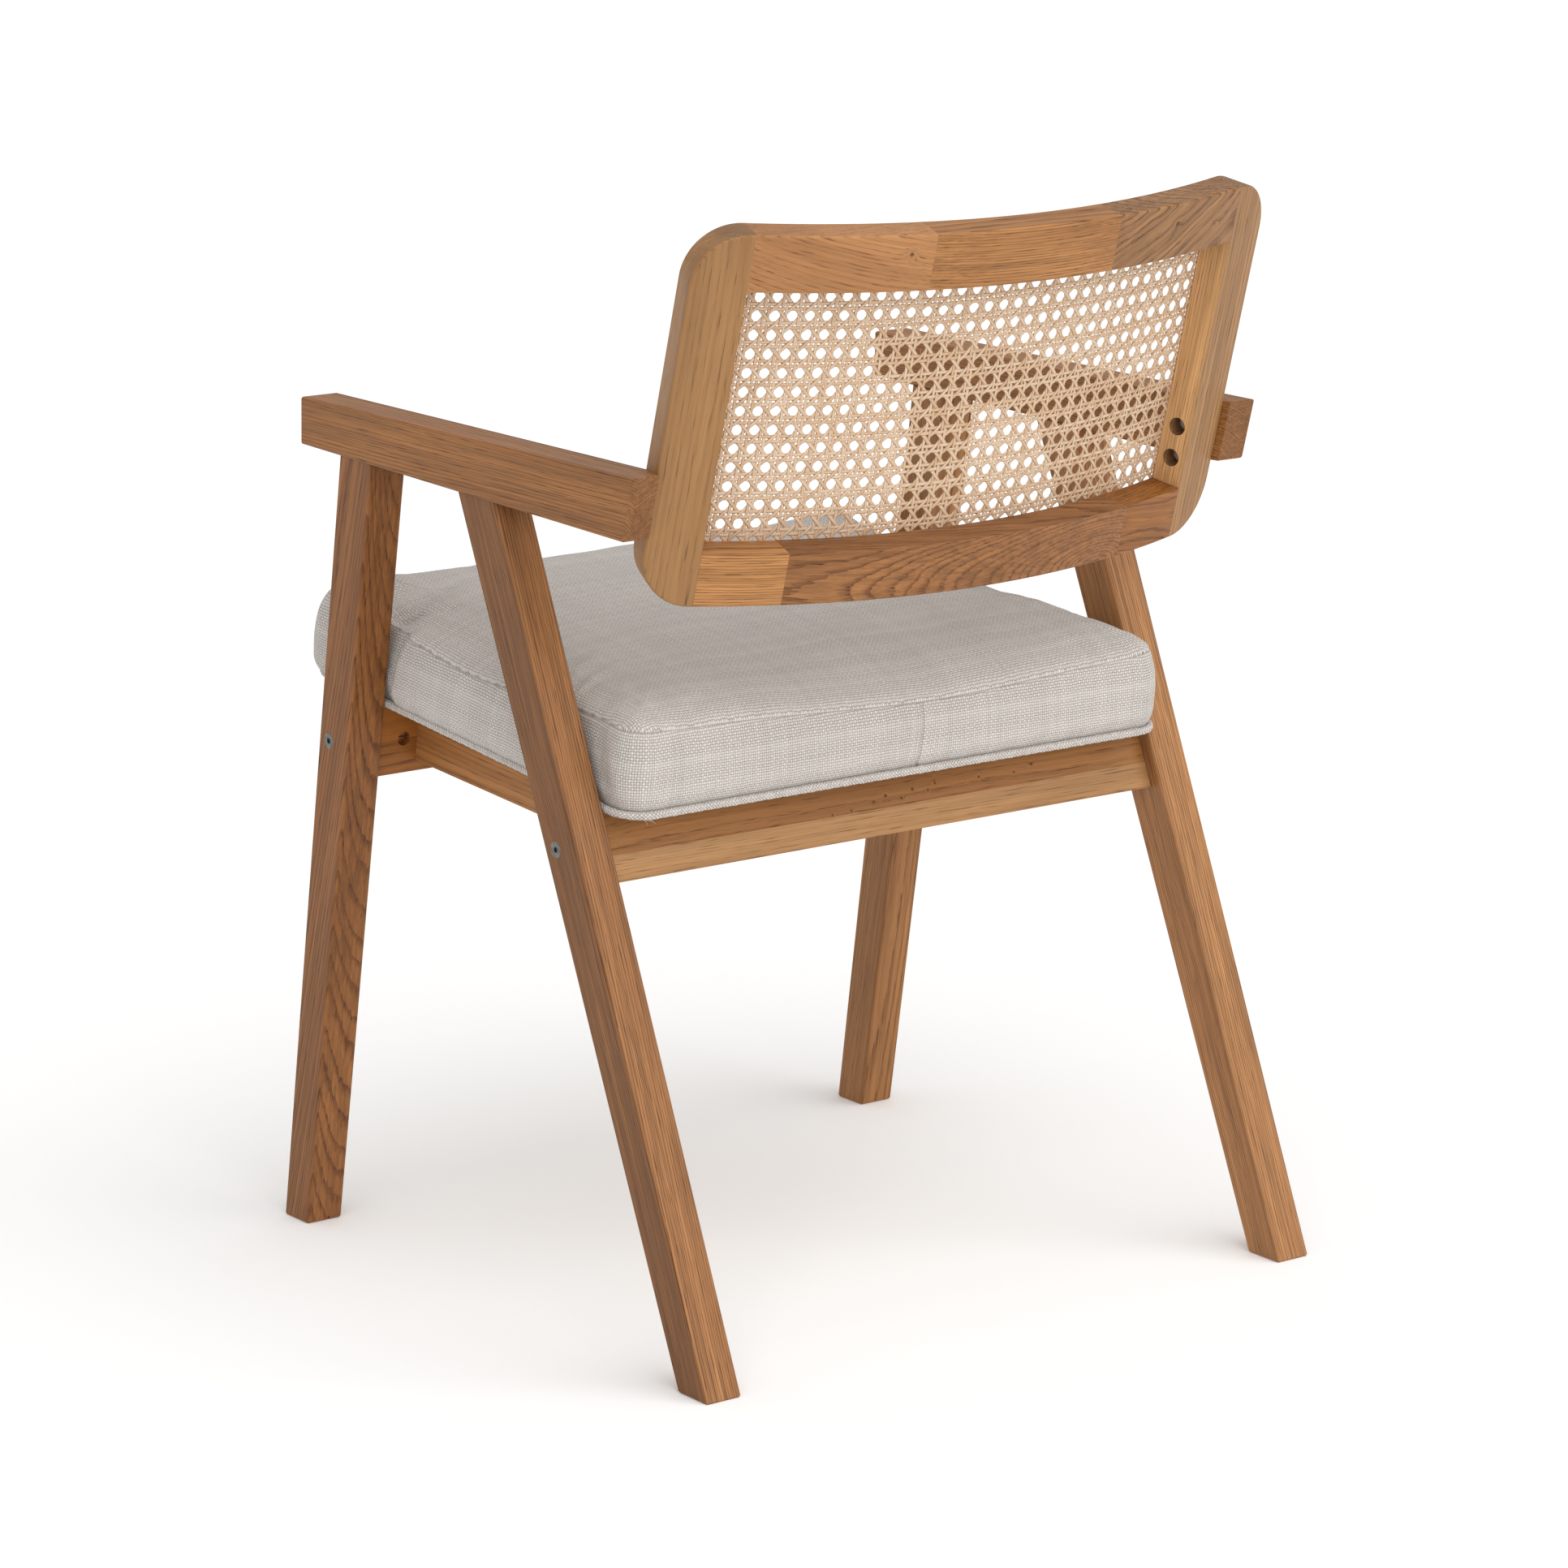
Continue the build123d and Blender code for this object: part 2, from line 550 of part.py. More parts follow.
left_rail_dowels = rail_dowels()
frame = drill(back_frame(), both_sides(left_rail_dowels) + both_sides(screw_tools))
cut_front = FRONT_FACE - BEYOND
cut_top = BACK_HEIGHT + BEYOND
stile_left = frame & back_sector(cut_front, BEYOND, OPENING_ANGLE, 2 * SIDE_ANGLE, -BEYOND, cut_top)
save("backrest_stile_left", stile_left)
save("backrest_stile_right", other_side(stile_left))
for rail, joints, z_low, z_high in (
    ("top", TOP_RAIL_GLUE_JOINTS, BACK_HEIGHT / 2, cut_top),
    ("bottom", BOTTOM_RAIL_GLUE_JOINTS, -BEYOND, BACK_HEIGHT / 2),
):
    ends = (OPENING_ANGLE, *joints, -OPENING_ANGLE)
    for name, high, low in zip(("left", "middle", "right"), ends, ends[1:]):
        save(f"backrest_{rail}_rail_{name}", frame & back_sector(cut_front, BEYOND, low, high, z_low, z_high))
save("backrest_dowels", both_sides(left_rail_dowels))
save("backrest_screws", both_sides([back_screw(frame) for frame in screw_frames]))
cane_angle = OPENING_ANGLE + math.degrees(CANE_MARGIN / BACK_RADIUS)
save("cane_panel", back_sector(FRONT_FACE, FRONT_FACE + CANE_THICKNESS, -cane_angle, cane_angle,
                               BOTTOM_RAIL_HEIGHT - CANE_MARGIN, OPENING_TOP + CANE_MARGIN))
save("cane_spline", back_ring(FRONT_FACE, FRONT_FACE + GROOVE_DEPTH - SPLINE_CLEARANCE,
                              CANE_MARGIN + SPLINE_CLEARANCE,
                              CANE_MARGIN + GROOVE_WIDTH - SPLINE_CLEARANCE))

front_rail = cross_rail(FRONT_RAIL_FRONT, FRONT_RAIL_BACK, FRONT_RAIL_BOTTOM_Z)
glue_line_z = REAR_RAIL_BOTTOM_Z + REAR_RAIL_GLUE_LINE
rear_rail_upper = cross_rail(REAR_RAIL_FRONT, REAR_RAIL_BACK, glue_line_z)
rear_rail_lower = cross_rail(REAR_RAIL_FRONT, REAR_RAIL_BACK, REAR_RAIL_BOTTOM_Z, glue_line_z)
rail_tools = both_sides(bolt_tools + nut_tools + frame_dowels)
save("seat_front_rail", drill(front_rail, rail_tools))
save("seat_rear_rail_upper", drill(rear_rail_upper, rail_tools))
save("seat_rear_rail_lower", drill(rear_rail_lower, rail_tools))
rail_left = drill(side_rail(), frame_dowels)
save("seat_side_rail_left", rail_left)
save("seat_side_rail_right", other_side(rail_left))
block_screws = [corner_block_screw(front) for front in (True, False)]
for node, front, screw in (("front", True, block_screws[0]), ("rear", False, block_screws[1])):
    block = corner_block(front) - screw
    save(f"corner_block_{node}_left", block)
    save(f"corner_block_{node}_right", other_side(block))
save("seat_frame_bolts", both_sides([bolt(axis) for axis, face in LEFT_BOLTS]))
save("barrel_nuts", both_sides([barrel_nut(axis, face) for axis, face in LEFT_BOLTS]))
save("seat_frame_dowels", both_sides(frame_dowels))

all_block_screws = both_sides(block_screws)
save("seat_board", drill(seat_board(), all_block_screws))
save("seat_board_screws", all_block_screws)
save("seat_foam", seat_foam())
piping = seat_piping()
save("seat_cover", seat_cover() - piping)
save("seat_piping", piping)
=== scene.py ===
import math
import random

import bpy
import numpy as np
from mathutils import Matrix, Vector
from mathutils.kdtree import KDTree


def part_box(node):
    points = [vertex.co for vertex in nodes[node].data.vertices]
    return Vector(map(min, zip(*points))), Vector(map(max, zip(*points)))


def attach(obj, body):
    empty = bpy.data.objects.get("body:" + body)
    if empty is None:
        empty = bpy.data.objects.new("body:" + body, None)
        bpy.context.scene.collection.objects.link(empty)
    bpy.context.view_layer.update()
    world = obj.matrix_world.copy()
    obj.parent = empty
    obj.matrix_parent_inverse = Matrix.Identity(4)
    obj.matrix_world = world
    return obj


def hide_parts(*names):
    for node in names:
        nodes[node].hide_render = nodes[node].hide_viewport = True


# Wooden armchair with a cane back and an upholstered seat pad. Metres, +Z up, the sitter faces -Y.
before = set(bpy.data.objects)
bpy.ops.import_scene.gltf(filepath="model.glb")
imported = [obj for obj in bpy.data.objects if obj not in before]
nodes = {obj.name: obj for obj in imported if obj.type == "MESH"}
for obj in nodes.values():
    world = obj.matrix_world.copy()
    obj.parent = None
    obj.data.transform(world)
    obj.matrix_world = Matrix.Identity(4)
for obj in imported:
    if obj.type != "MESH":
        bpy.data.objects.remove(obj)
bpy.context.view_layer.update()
scene = bpy.context.scene
MM = 0.001


def add_object(name, data):
    thing = bpy.data.objects.new(name, data)
    scene.collection.objects.link(thing)
    return thing


# ---- camera
CAMERA_PLACE = Vector((2.6891, 3.3666, 1.4092))
AZIMUTH, ELEVATION, ROLL = (math.radians(angle) for angle in (141.49, 13.80, 1.0285))
FOCAL_LENGTH = 136.4         # mm
SENSOR = 36.0                # mm
FARTHEST_SEEN = 200


def camera():
    back = Vector((math.sin(AZIMUTH) * math.cos(ELEVATION), -math.cos(AZIMUTH) * math.cos(ELEVATION),
                   math.sin(ELEVATION)))
    level_right = Vector((0, 0, 1)).cross(back).normalized()
    level_up = back.cross(level_right)
    right = math.cos(ROLL) * level_right + math.sin(ROLL) * level_up
    up = -math.sin(ROLL) * level_right + math.cos(ROLL) * level_up
    data = bpy.data.cameras.new("camera")
    data.lens = FOCAL_LENGTH
    data.sensor_width = SENSOR
    data.clip_end = FARTHEST_SEEN
    scene.camera = add_object("camera", data)
    turn = Matrix((right, up, back)).transposed().to_4x4()
    scene.camera.matrix_world = Matrix.Translation(CAMERA_PLACE) @ turn


# ---- shader graphs
class Wire:
    """A node's output that can be used in a formula."""

    def __init__(self, graph, socket):
        self.graph = graph
        self.socket = socket

    def __add__(self, other):
        return self.graph.math("ADD", self, other)

    def __sub__(self, other):
        return self.graph.math("SUBTRACT", self, other)

    def __rsub__(self, other):
        return self.graph.math("SUBTRACT", other, self)

    def __mul__(self, other):
        return self.graph.math("MULTIPLY", self, other)

    __radd__ = __add__
    __rmul__ = __mul__


class Graph:
    """A material and short calls that add nodes to it."""

    def __init__(self, name):
        self.material = bpy.data.materials.new(name)
        self.material.use_nodes = True
        self.nodes = self.material.node_tree.nodes
        self.links = self.material.node_tree.links
        self.nodes.clear()

    def feed(self, socket, value):
        if isinstance(value, Wire):
            self.links.new(value.socket, socket)
        else:
            socket.default_value = (*value, 1.0) if socket.type == "RGBA" else value

    def node(self, kind, inputs=(), output=0, **settings):
        """A new node; inputs are pairs of a socket's name or number and its value."""
        node = self.nodes.new(kind)
        for name, value in settings.items():
            setattr(node, name, value)
        for name, value in inputs:
            self.feed(node.inputs[name], value)
        return Wire(self, node.outputs[output])

    def math(self, operation, *values):
        return self.node("ShaderNodeMath", enumerate(values), operation=operation)

    def vector(self, operation, *values):
        output = "Value" if operation in ("DOT_PRODUCT", "DISTANCE") else "Vector"
        return self.node("ShaderNodeVectorMath", enumerate(values), output, operation=operation)

    def combine(self, x, y, z):
        return self.node("ShaderNodeCombineXYZ", enumerate((x, y, z)))

    def coordinate(self, name):
        return self.node("ShaderNodeTexCoord", output=name)

    def uv(self):
        uv = self.coordinate("UV")
        node = self.nodes.new("ShaderNodeSeparateXYZ")
        self.feed(node.inputs[0], uv)
        return Wire(self, node.outputs[0]), Wire(self, node.outputs[1])

    def attribute(self, name):
        return self.node("ShaderNodeAttribute", output="Fac", attribute_name=name)

    def noise(self, x, y, z, detail=2.0, roughness=0.5):
        """Noise in 0 to 1 at a point given in grain sizes."""
        place = self.combine(x, y, z)
        return self.node("ShaderNodeTexNoise", (("Vector", place), ("Scale", 1.0), ("Detail", detail),
                                                ("Roughness", roughness)))

    def random(self, value):
        return self.node("ShaderNodeTexWhiteNoise", (("W", value),), noise_dimensions="1D")

    def step(self, value, low, high):
        """Smooth step from 0 at low to 1 at high."""
        return self.node("ShaderNodeMapRange", (("Value", value), ("From Min", low), ("From Max", high)),
                         interpolation_type="SMOOTHSTEP")

    def ramp(self, value, stops):
        node = self.nodes.new("ShaderNodeValToRGB")
        elements = node.color_ramp.elements
        while len(elements) < len(stops):
            elements.new(0.5)
        for element, (place, colour) in zip(elements, stops):
            element.position = place
            element.color = (*colour, 1.0)
        self.feed(node.inputs[0], value)
        return Wire(self, node.outputs[0])

    def mix(self, factor, first, second, kind="MIX"):
        return self.node("ShaderNodeMix", ((0, factor), (6, first), (7, second)), 2, data_type="RGBA",
                         blend_type=kind)

    def grey(self, value):
        """A number as a colour."""
        return self.combine(value, value, value)

    def surface(self, colour, roughness, height=None, depth=0.0, strength=1.0, **fixed):
        shader = self.nodes.new("ShaderNodeBsdfPrincipled")
        self.feed(shader.inputs["Base Color"], colour)
        self.feed(shader.inputs["Roughness"], roughness)
        for name, value in fixed.items():
            shader.inputs[name.replace("_", " ")].default_value = value
        if height is not None:
            bump = self.nodes.new("ShaderNodeBump")
            bump.inputs["Strength"].default_value = strength
            bump.inputs["Distance"].default_value = depth
            self.feed(bump.inputs["Height"], height)
            self.links.new(bump.outputs[0], shader.inputs["Normal"])
        output = self.nodes.new("ShaderNodeOutputMaterial")
        self.links.new(shader.outputs[0], output.inputs[0])
        return self.material


# ---- wood
PALE = (0.455, 0.197, 0.068)
HONEY = (0.250, 0.094, 0.028)
PORE = (0.090, 0.031, 0.010)
KNOT = (0.045, 0.017, 0.007)
END_GRAIN_TINT = (0.78, 0.80, 0.92)
BEECH = ((0.66, 0.45, 0.28), (0.58, 0.36, 0.20), (0.40, 0.22, 0.11))
BIRCH = ((0.70, 0.54, 0.36), (0.62, 0.45, 0.28), (0.42, 0.27, 0.14))
RATTAN = ((0.70, 0.47, 0.25), (0.62, 0.38, 0.18), (0.42, 0.23, 0.10))


def wood(name, along, pith, ring=1.6, wander=3.0, figure=0.0, tone=(1, 1, 1), contrast=1.0, knots=(), seed=0.0,
         palette=(PALE, HONEY, PORE), painted_side_light=None):
    """Wood cut from a log: rings about the pith, pores and fibres along the grain.

    Sizes are in mm, and the noises' scales are per metre, small along the grain and large across it.
    along is the grain's direction and pith a point on the log's centre line.
    wander bends the rings slowly, figure makes the grain wild, and knots are (point, radius) pairs.
    tone tints the piece. painted_side_light is a side, 1 for +X or -1 for -X, and a tint painted on the faces turned
    to that side: painted light or shade for how the light falls on that side."""
    pale, honey, pore_colour = [tuple(np.multiply(tone, colour)) for colour in palette]
    grain = Vector(along).normalized()
    helper = Vector((1, 0, 0)) if abs(grain.x) < 0.9 else Vector((0, 0, 1))
    second = grain.cross(helper).normalized()
    third = grain.cross(second)
    graph = Graph(name)
    place = graph.coordinate("Object")
    offset = graph.vector("SUBTRACT", place, tuple(pith))
    u, v, w = (graph.vector("DOT_PRODUCT", offset, tuple(axis)) for axis in (grain, second, third))
    shift = seed * 7.31
    v_bent, w_bent = v, w
    for size, along_scale, scale, detail, other in ((wander, 2.6, 14, 1.0, 31), (figure, 20, 32, 2.0, 17)):
        if size:
            wave_v = graph.noise(u * along_scale + shift, v * scale, w * scale, detail) - 0.5
            wave_w = graph.noise(u * along_scale + (shift + other), v * scale, w * scale, detail) - 0.5
            v_bent = v_bent + wave_v * (2 * size * MM)
            w_bent = w_bent + wave_w * (2 * size * MM)
    knot_dark = None
    for centre, radius in knots:
        away = graph.vector("DISTANCE", place, tuple(centre)) * (1 / (radius * MM))
        near = graph.math("EXPONENT", away * away * -0.22)
        v_bent = v_bent + near * (1.6 * radius * MM)
        w_bent = w_bent + near * (1.1 * radius * MM)
        dark = 1.0 - graph.step(away, 0.35, 1.25)
        knot_dark = dark if knot_dark is None else graph.math("MAXIMUM", knot_dark, dark)
    radius = graph.math("SQRT", v_bent * v_bent + w_bent * w_bent)
    uneven = graph.noise(radius * (1000 / (ring * 3.5)) + shift, 0.5, 0.5, 1.0) - 0.5
    ragged = graph.noise(u * 30 + shift, v_bent * 500, w_bent * 500, 2.0) - 0.5
    turns = radius * (1 / (ring * MM)) + uneven * 2.6 + ragged * 0.5
    phase = graph.math("FRACT", turns)
    each_ring = graph.random(graph.math("FLOOR", turns) + shift)
    fibre = graph.step(graph.noise(u * 16 + shift, v_bent * 900, w_bent * 900, 2.0, 0.6), 0.30, 0.70)
    streak = graph.step(graph.noise(u * 6 + shift, v_bent * 300, w_bent * 300, 2.0, 0.6), 0.32, 0.68)
    broad = graph.step(graph.noise(u * 3.5 + (shift + 5), v_bent * 40, w_bent * 40, 2.0), 0.30, 0.72)
    pore_noise = graph.noise(u * 42 + shift, v_bent * 1300, w_bent * 1300, 1.0)
    early = 1.0 - graph.step(phase, 0.0, 0.48)
    pores = graph.step(pore_noise, 0.55, 0.68) * (early * 0.80 + 0.20)
    base = graph.mix(early * (each_ring * 0.50 + 0.55) * contrast, pale, honey)
    base = graph.mix(broad * 0.45, base, honey)
    base = graph.mix(pores * (0.55 + 0.30 * contrast), base, pore_colour)
    light = 0.70 + (fibre * 0.20 + streak * 0.30) * contrast + each_ring * 0.12
    base = graph.mix(1.0, base, graph.grey(light), "MULTIPLY")
    endways = graph.vector("DOT_PRODUCT", graph.coordinate("Normal"), tuple(grain))
    end_grain = graph.step(graph.math("ABSOLUTE", endways), 0.70, 0.95)
    base = graph.mix(end_grain, base, graph.mix(1.0, base, END_GRAIN_TINT, "MULTIPLY"))
    # painted light and shade: faces turned to one side are darkened or brightened for how the light falls on them,
    # not for the wood's colour
    if painted_side_light is not None:
        side, tint = painted_side_light
        sideways = graph.vector("DOT_PRODUCT", graph.coordinate("Normal"), (side, 0, 0))
        base = graph.mix(graph.step(sideways, 0.45, 0.92), base, graph.mix(1.0, base, tint, "MULTIPLY"))
    if knot_dark is not None:
        base = graph.mix(knot_dark * 0.88, base, KNOT)
    rough = 0.42 + pores * 0.16 + fibre * 0.06
    height = fibre * 0.25 + streak * 0.10 - pores * 0.75 - early * 0.10
    return graph.surface(base, rough, height, 0.00022, 0.75, Specular_IOR_Level=0.27)


def paint(node, material):
    """Give a CAD node its material."""
    slots = nodes[node].data.materials
    slots.clear()
    slots.append(material)


def centre(node):
    low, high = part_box(node)
    return (low + high) / 2


RECLINE = math.radians(13.7)
BACK_ORIGIN = Vector((0, 0.1919, 0.5332))
BACK_UP = Vector((0, math.sin(RECLINE), math.cos(RECLINE)))
BACK_REAR = Vector((0, math.cos(RECLINE), -math.sin(RECLINE)))
BACK_RADIUS = 0.7794


def back_place(angle, depth, height):
    """Point of the back; depth 0 is its rear surface, + is rearwards."""
    radius = BACK_RADIUS + depth
    across = Vector((radius * math.sin(angle), 0, 0))
    return BACK_ORIGIN + across + (radius * math.cos(angle) - BACK_RADIUS) * BACK_REAR + height * BACK_UP


def back_tangent(angle, tilt=0.0):
    """Direction across the back at an angle, tilted up by an angle."""
    level = Vector((math.cos(angle), 0, 0)) - math.sin(angle) * BACK_REAR
    return math.cos(tilt) * level + math.sin(tilt) * BACK_UP


FRONT_LEG_GRAIN = Vector((0, 0.1324, 1.0))
REAR_LEG_GRAIN = Vector((0, -0.446, 1.0))
ARM_GRAIN = (0, 1, 0.004)
ARM_GLUE_X = 0.282           # glue line between an arm and its facing
ARM_TONE = (0.72, 0.70, 0.58)
RAIL_FACE_FOOT = (0.10537, 0.3544)       # y and z of the upper rear rail's rear face at its lower edge
RAIL_FACE_LEAN = 0.441       # rearwards per unit of drop
# flecks in the upper rear rail: x, height above the rail's middle, and size in mm
FLECKS = ((0.048, -0.0160, 0.9), (0.030, -0.0155, 1.0), (0.008, -0.0120, 1.3), (-0.004, -0.0095, 1.6),
          (-0.018, -0.0125, 1.2), (-0.030, -0.0080, 1.4), (-0.044, -0.0105, 1.2), (-0.052, -0.0065, 1.3),
          (-0.094, -0.0075, 1.2), (-0.128, -0.0085, 1.0), (-0.146, -0.0050, 1.3))


def side_frame_cuts():
    """How the legs, arms and arm facings are cut from their logs."""
    front_cuts = {
        # partly painted shade: the left front leg's darker tone is the wood's colour and also stands in for the
        # shadow of the arm and pad on its rear face
        "left": dict(along=FRONT_LEG_GRAIN + Vector((0, 0.115, 0)), ring=2.6, wander=3.0, contrast=1.15,
                     tone=(0.575, 0.53, 0.45), seed=1.0),
        "right": dict(along=FRONT_LEG_GRAIN + Vector((0, 0.02, 0)), ring=1.8, wander=3.0, contrast=0.9,
                      tone=(0.76, 0.79, 0.76), seed=2.0),
    }
    rear_tones = {"left": (0.70, 0.73, 0.78), "right": (0.84, 0.92, 1.02)}
    cut = {}
    for side, sign, seed in (("left", 1, 1.0), ("right", -1, 2.0)):
        middle = centre("front_leg_" + side)
        cut["front_leg_" + side] = dict(pith=middle + Vector((-sign * 0.014, -0.042, 0)), **front_cuts[side])
        middle = centre("rear_leg_" + side)
        # painted shade: the rear legs' outer faces are darkened for how the light falls on them
        cut["rear_leg_" + side] = dict(
            along=REAR_LEG_GRAIN, pith=middle + Vector((-sign * 0.16, -0.15, -0.05)), ring=1.4, wander=2.0,
            tone=rear_tones[side], seed=seed + 2, contrast=1.35, painted_side_light=(sign, (0.70, 0.65, 0.56)))
        # the facing's rings mirror the arm's
        middle = centre("arm_" + side)
        for node, away in (("arm_", -sign), ("arm_facing_", sign)):
            pith = Vector((sign * ARM_GLUE_X + away * 0.045, middle.y, middle.z - 0.060))
            cut[node + side] = dict(along=ARM_GRAIN, pith=pith, ring=1.9, wander=2.5, tone=ARM_TONE,
                                    seed=seed + 4, contrast=1.1)
    return cut


def rail_block(degrees, depth, height, tilt=0.0, lean=0.0, **how):
    """A straight block of a back rail: its angle across the back, and its pith's depth and height there.

    The grain is tilted up by some degrees, and leans forwards."""
    angle = math.radians(degrees)
    along = back_tangent(angle, math.radians(tilt)) - lean * BACK_REAR
    return dict(along=along, pith=back_place(angle, depth, height), **how)


def back_knot(degrees, height, radius):
    """A knot in the back's rear face."""
    return back_place(math.radians(degrees), -0.001, height), radius


def backrest_cuts():
    """How the stiles and the rails' blocks are cut."""
    return {
        "backrest_stile_left": dict(
            along=BACK_UP, pith=back_place(0.31, -0.16, 0.14) + Vector((-0.10, 0, 0)),
            ring=2.6, wander=2.0, tone=(0.95, 1.14, 1.28), seed=11, contrast=0.32),
        # painted light: the right stile's inner face, turned to +X, is brightened for how the light falls on it
        "backrest_stile_right": dict(
            along=BACK_UP, pith=back_place(-0.31, -0.07, 0.14) + Vector((0.05, 0, 0)),
            ring=2.2, wander=4.0, tone=(0.88, 1.07, 1.24), seed=12, contrast=0.7, painted_side_light=(1, (1.80, 1.95, 2.15))),
        "backrest_top_rail_left": rail_block(
            11.4, -0.10, 0.165, tilt=13, ring=2.3, wander=3.5, tone=(1.12, 1.21, 1.34), seed=13, contrast=0.45,
            knots=(back_knot(7.6, 0.263, 2.2),)),
        "backrest_top_rail_middle": rail_block(
            0, -0.05, 0.14, ring=2.0, wander=2.0, tone=(0.89, 0.94, 0.91), seed=14, contrast=1.1),
        "backrest_top_rail_right": rail_block(
            -11.4, -0.045, 0.215, tilt=-28, ring=4.2, wander=6.0, figure=4.0, tone=(0.67, 0.78, 0.92), seed=15,
            contrast=1.2, knots=(back_knot(-11.0, 0.262, 2.4), back_knot(-14.5, 0.254, 1.8))),
        "backrest_bottom_rail_left": rail_block(
            14, -0.04, -0.10, ring=1.9, wander=2.5, tone=(0.97, 1.05, 1.03), seed=16, contrast=1.15),
        "backrest_bottom_rail_middle": rail_block(
            0, -0.040, 0.006, tilt=2.5, lean=0.22, ring=2.6, wander=4.0, figure=1.6, tone=(0.64, 0.635, 0.62),
            seed=17, contrast=1.15),
        "backrest_bottom_rail_right": rail_block(
            -14, -0.035, 0.025, tilt=9, ring=2.4, wander=5.0, figure=1.5, tone=(0.65, 0.575, 0.36), seed=18,
            contrast=1.25),
    }


def seat_frame_cuts():
    """How the seat's rails and corner blocks are cut."""
    middle = centre("seat_rear_rail_upper")
    foot_y, foot_z = RAIL_FACE_FOOT
    face_y = foot_y - RAIL_FACE_LEAN * (middle.z - foot_z)
    flecks = [(Vector((x, face_y - RAIL_FACE_LEAN * up, middle.z + up)), size) for x, up, size in FLECKS]
    cut = {"seat_rear_rail_upper": dict(
        along=(1, 0.004, 0.008), pith=middle + Vector((0, -0.052, 0.012)), ring=4.5, wander=6.0, figure=1.2,
        tone=(0.92, 0.925, 0.81), seed=21, contrast=0.5, knots=flecks)}
    cut["seat_rear_rail_lower"] = dict(
        along=(1, 0, 0.003), pith=centre("seat_rear_rail_lower") + Vector((0, -0.03, -0.10)), ring=2.0, wander=2.5,
        tone=(1.14, 1.40, 1.66), seed=22, contrast=0.4)
    cut["seat_front_rail"] = dict(
        along=(1, 0, -0.006), pith=centre("seat_front_rail") + Vector((0, -0.06, 0.02)), ring=2.4, wander=5.0,
        tone=(0.77, 0.65, 0.35), seed=23, contrast=0.65)
    for side, seed in (("left", 24.0), ("right", 25.0)):
        rail = "seat_side_rail_" + side
        cut[rail] = dict(along=(0, 1, -0.075), pith=centre(rail) + Vector((-0.06, 0, -0.05)), ring=2.2, wander=3.0,
                         tone=(1.04, 1.07, 0.98), seed=seed, contrast=0.6)
        for end in ("front", "rear"):
            block = f"corner_block_{end}_{side}"
            cut[block] = dict(along=(1, 0.4, 0), pith=centre(block) + Vector((0, 0.05, -0.06)), ring=3.0,
                              wander=4.0, tone=(1.05, 1.15, 1.2), seed=seed + 3, contrast=0.6)
    return cut


def dress_wood():
    for node, how in {**side_frame_cuts(), **backrest_cuts(), **seat_frame_cuts()}.items():
        paint(node, wood("wood_" + node, **how))
    dowels = wood("dowel_beech", (0, 0, 1), (0.4, 0.3, 0), ring=2.5, contrast=0.5, palette=BEECH)
    for node in ("leg_top_dowels", "backrest_dowels", "seat_frame_dowels"):
        paint(node, dowels)
    paint("seat_board", wood("birch_plywood", (1, 0, 0), (0, 0.1, 0.2), ring=9.0, wander=12.0, contrast=0.6,
                             palette=BIRCH))
    paint("cane_spline", wood("rattan_spline", (1, 0, 0.2), (0, 0, 0.4), ring=0.9, contrast=0.5, palette=RATTAN))


# ---- metal
def metal(name, colour, stained, roughness):
    """Plated or plain metal: fine turning marks, small scratches and dull patches."""
    graph = Graph(name)
    place = graph.coordinate("Object")
    x, y, z = (graph.vector("DOT_PRODUCT", place, axis) for axis in ((1, 0, 0), (0, 1, 0), (0, 0, 1)))
    patches = graph.noise(x * 260, y * 260, z * 260, 3.0)
    marks = graph.noise(x * 300, y * 2600, z * 2600, 1.0)
    tint = graph.mix(graph.step(patches, 0.35, 0.72) * 0.7, colour, stained)
    rough = roughness + patches * 0.18 + marks * 0.08
    return graph.surface(tint, rough, marks * 0.6 + patches * 0.4, 0.00008, 0.6, Metallic=1.0)


def dress_metal():
    zinc = metal("zinc_plate", (0.23, 0.215, 0.198), (0.11, 0.105, 0.10), 0.30)
    black_zinc = metal("black_zinc", (0.72, 0.70, 0.68), (0.30, 0.29, 0.28), 0.24)
    paint("seat_frame_bolts", zinc)
    paint("seat_board_screws", zinc)
    paint("backrest_screws", black_zinc)
    paint("barrel_nuts", metal("copper_plate", (0.62, 0.33, 0.17), (0.38, 0.19, 0.10), 0.34))


# ---- mesh helpers
def mesh_object(name, points, faces, material, uvs, tones=None):
    """Smooth mesh; uvs are given per corner of each face, and tones per point."""
    mesh = bpy.data.meshes.new(name)
    mesh.from_pydata([tuple(point) for point in points], [], faces)
    mesh.materials.append(material)
    mesh.shade_smooth()
    layer = mesh.uv_layers.new(name="UVMap")
    layer.data.foreach_set("uv", np.asarray(uvs, np.float32).ravel())
    if tones is not None:
        mesh.attributes.new("tone", "FLOAT", "POINT").data.foreach_set("value", np.asarray(tones, np.float32))
    mesh.update()
    return add_object(name, mesh)


def ring_faces(rings, count, start=0, closed=False):
    """Quads between rings of points, with a cap at each end unless the last ring joins the first."""
    faces = []
    for i in range(rings if closed else rings - 1):
        here, there = start + i * count, start + (i + 1) % rings * count
        for k in range(count):
            m = (k + 1) % count
            faces.append((here + k, here + m, there + m, there + k))
    if not closed:
        last = start + (rings - 1) * count
        faces += [tuple(range(start, start + count))[::-1], tuple(range(last, last + count))]
    return faces


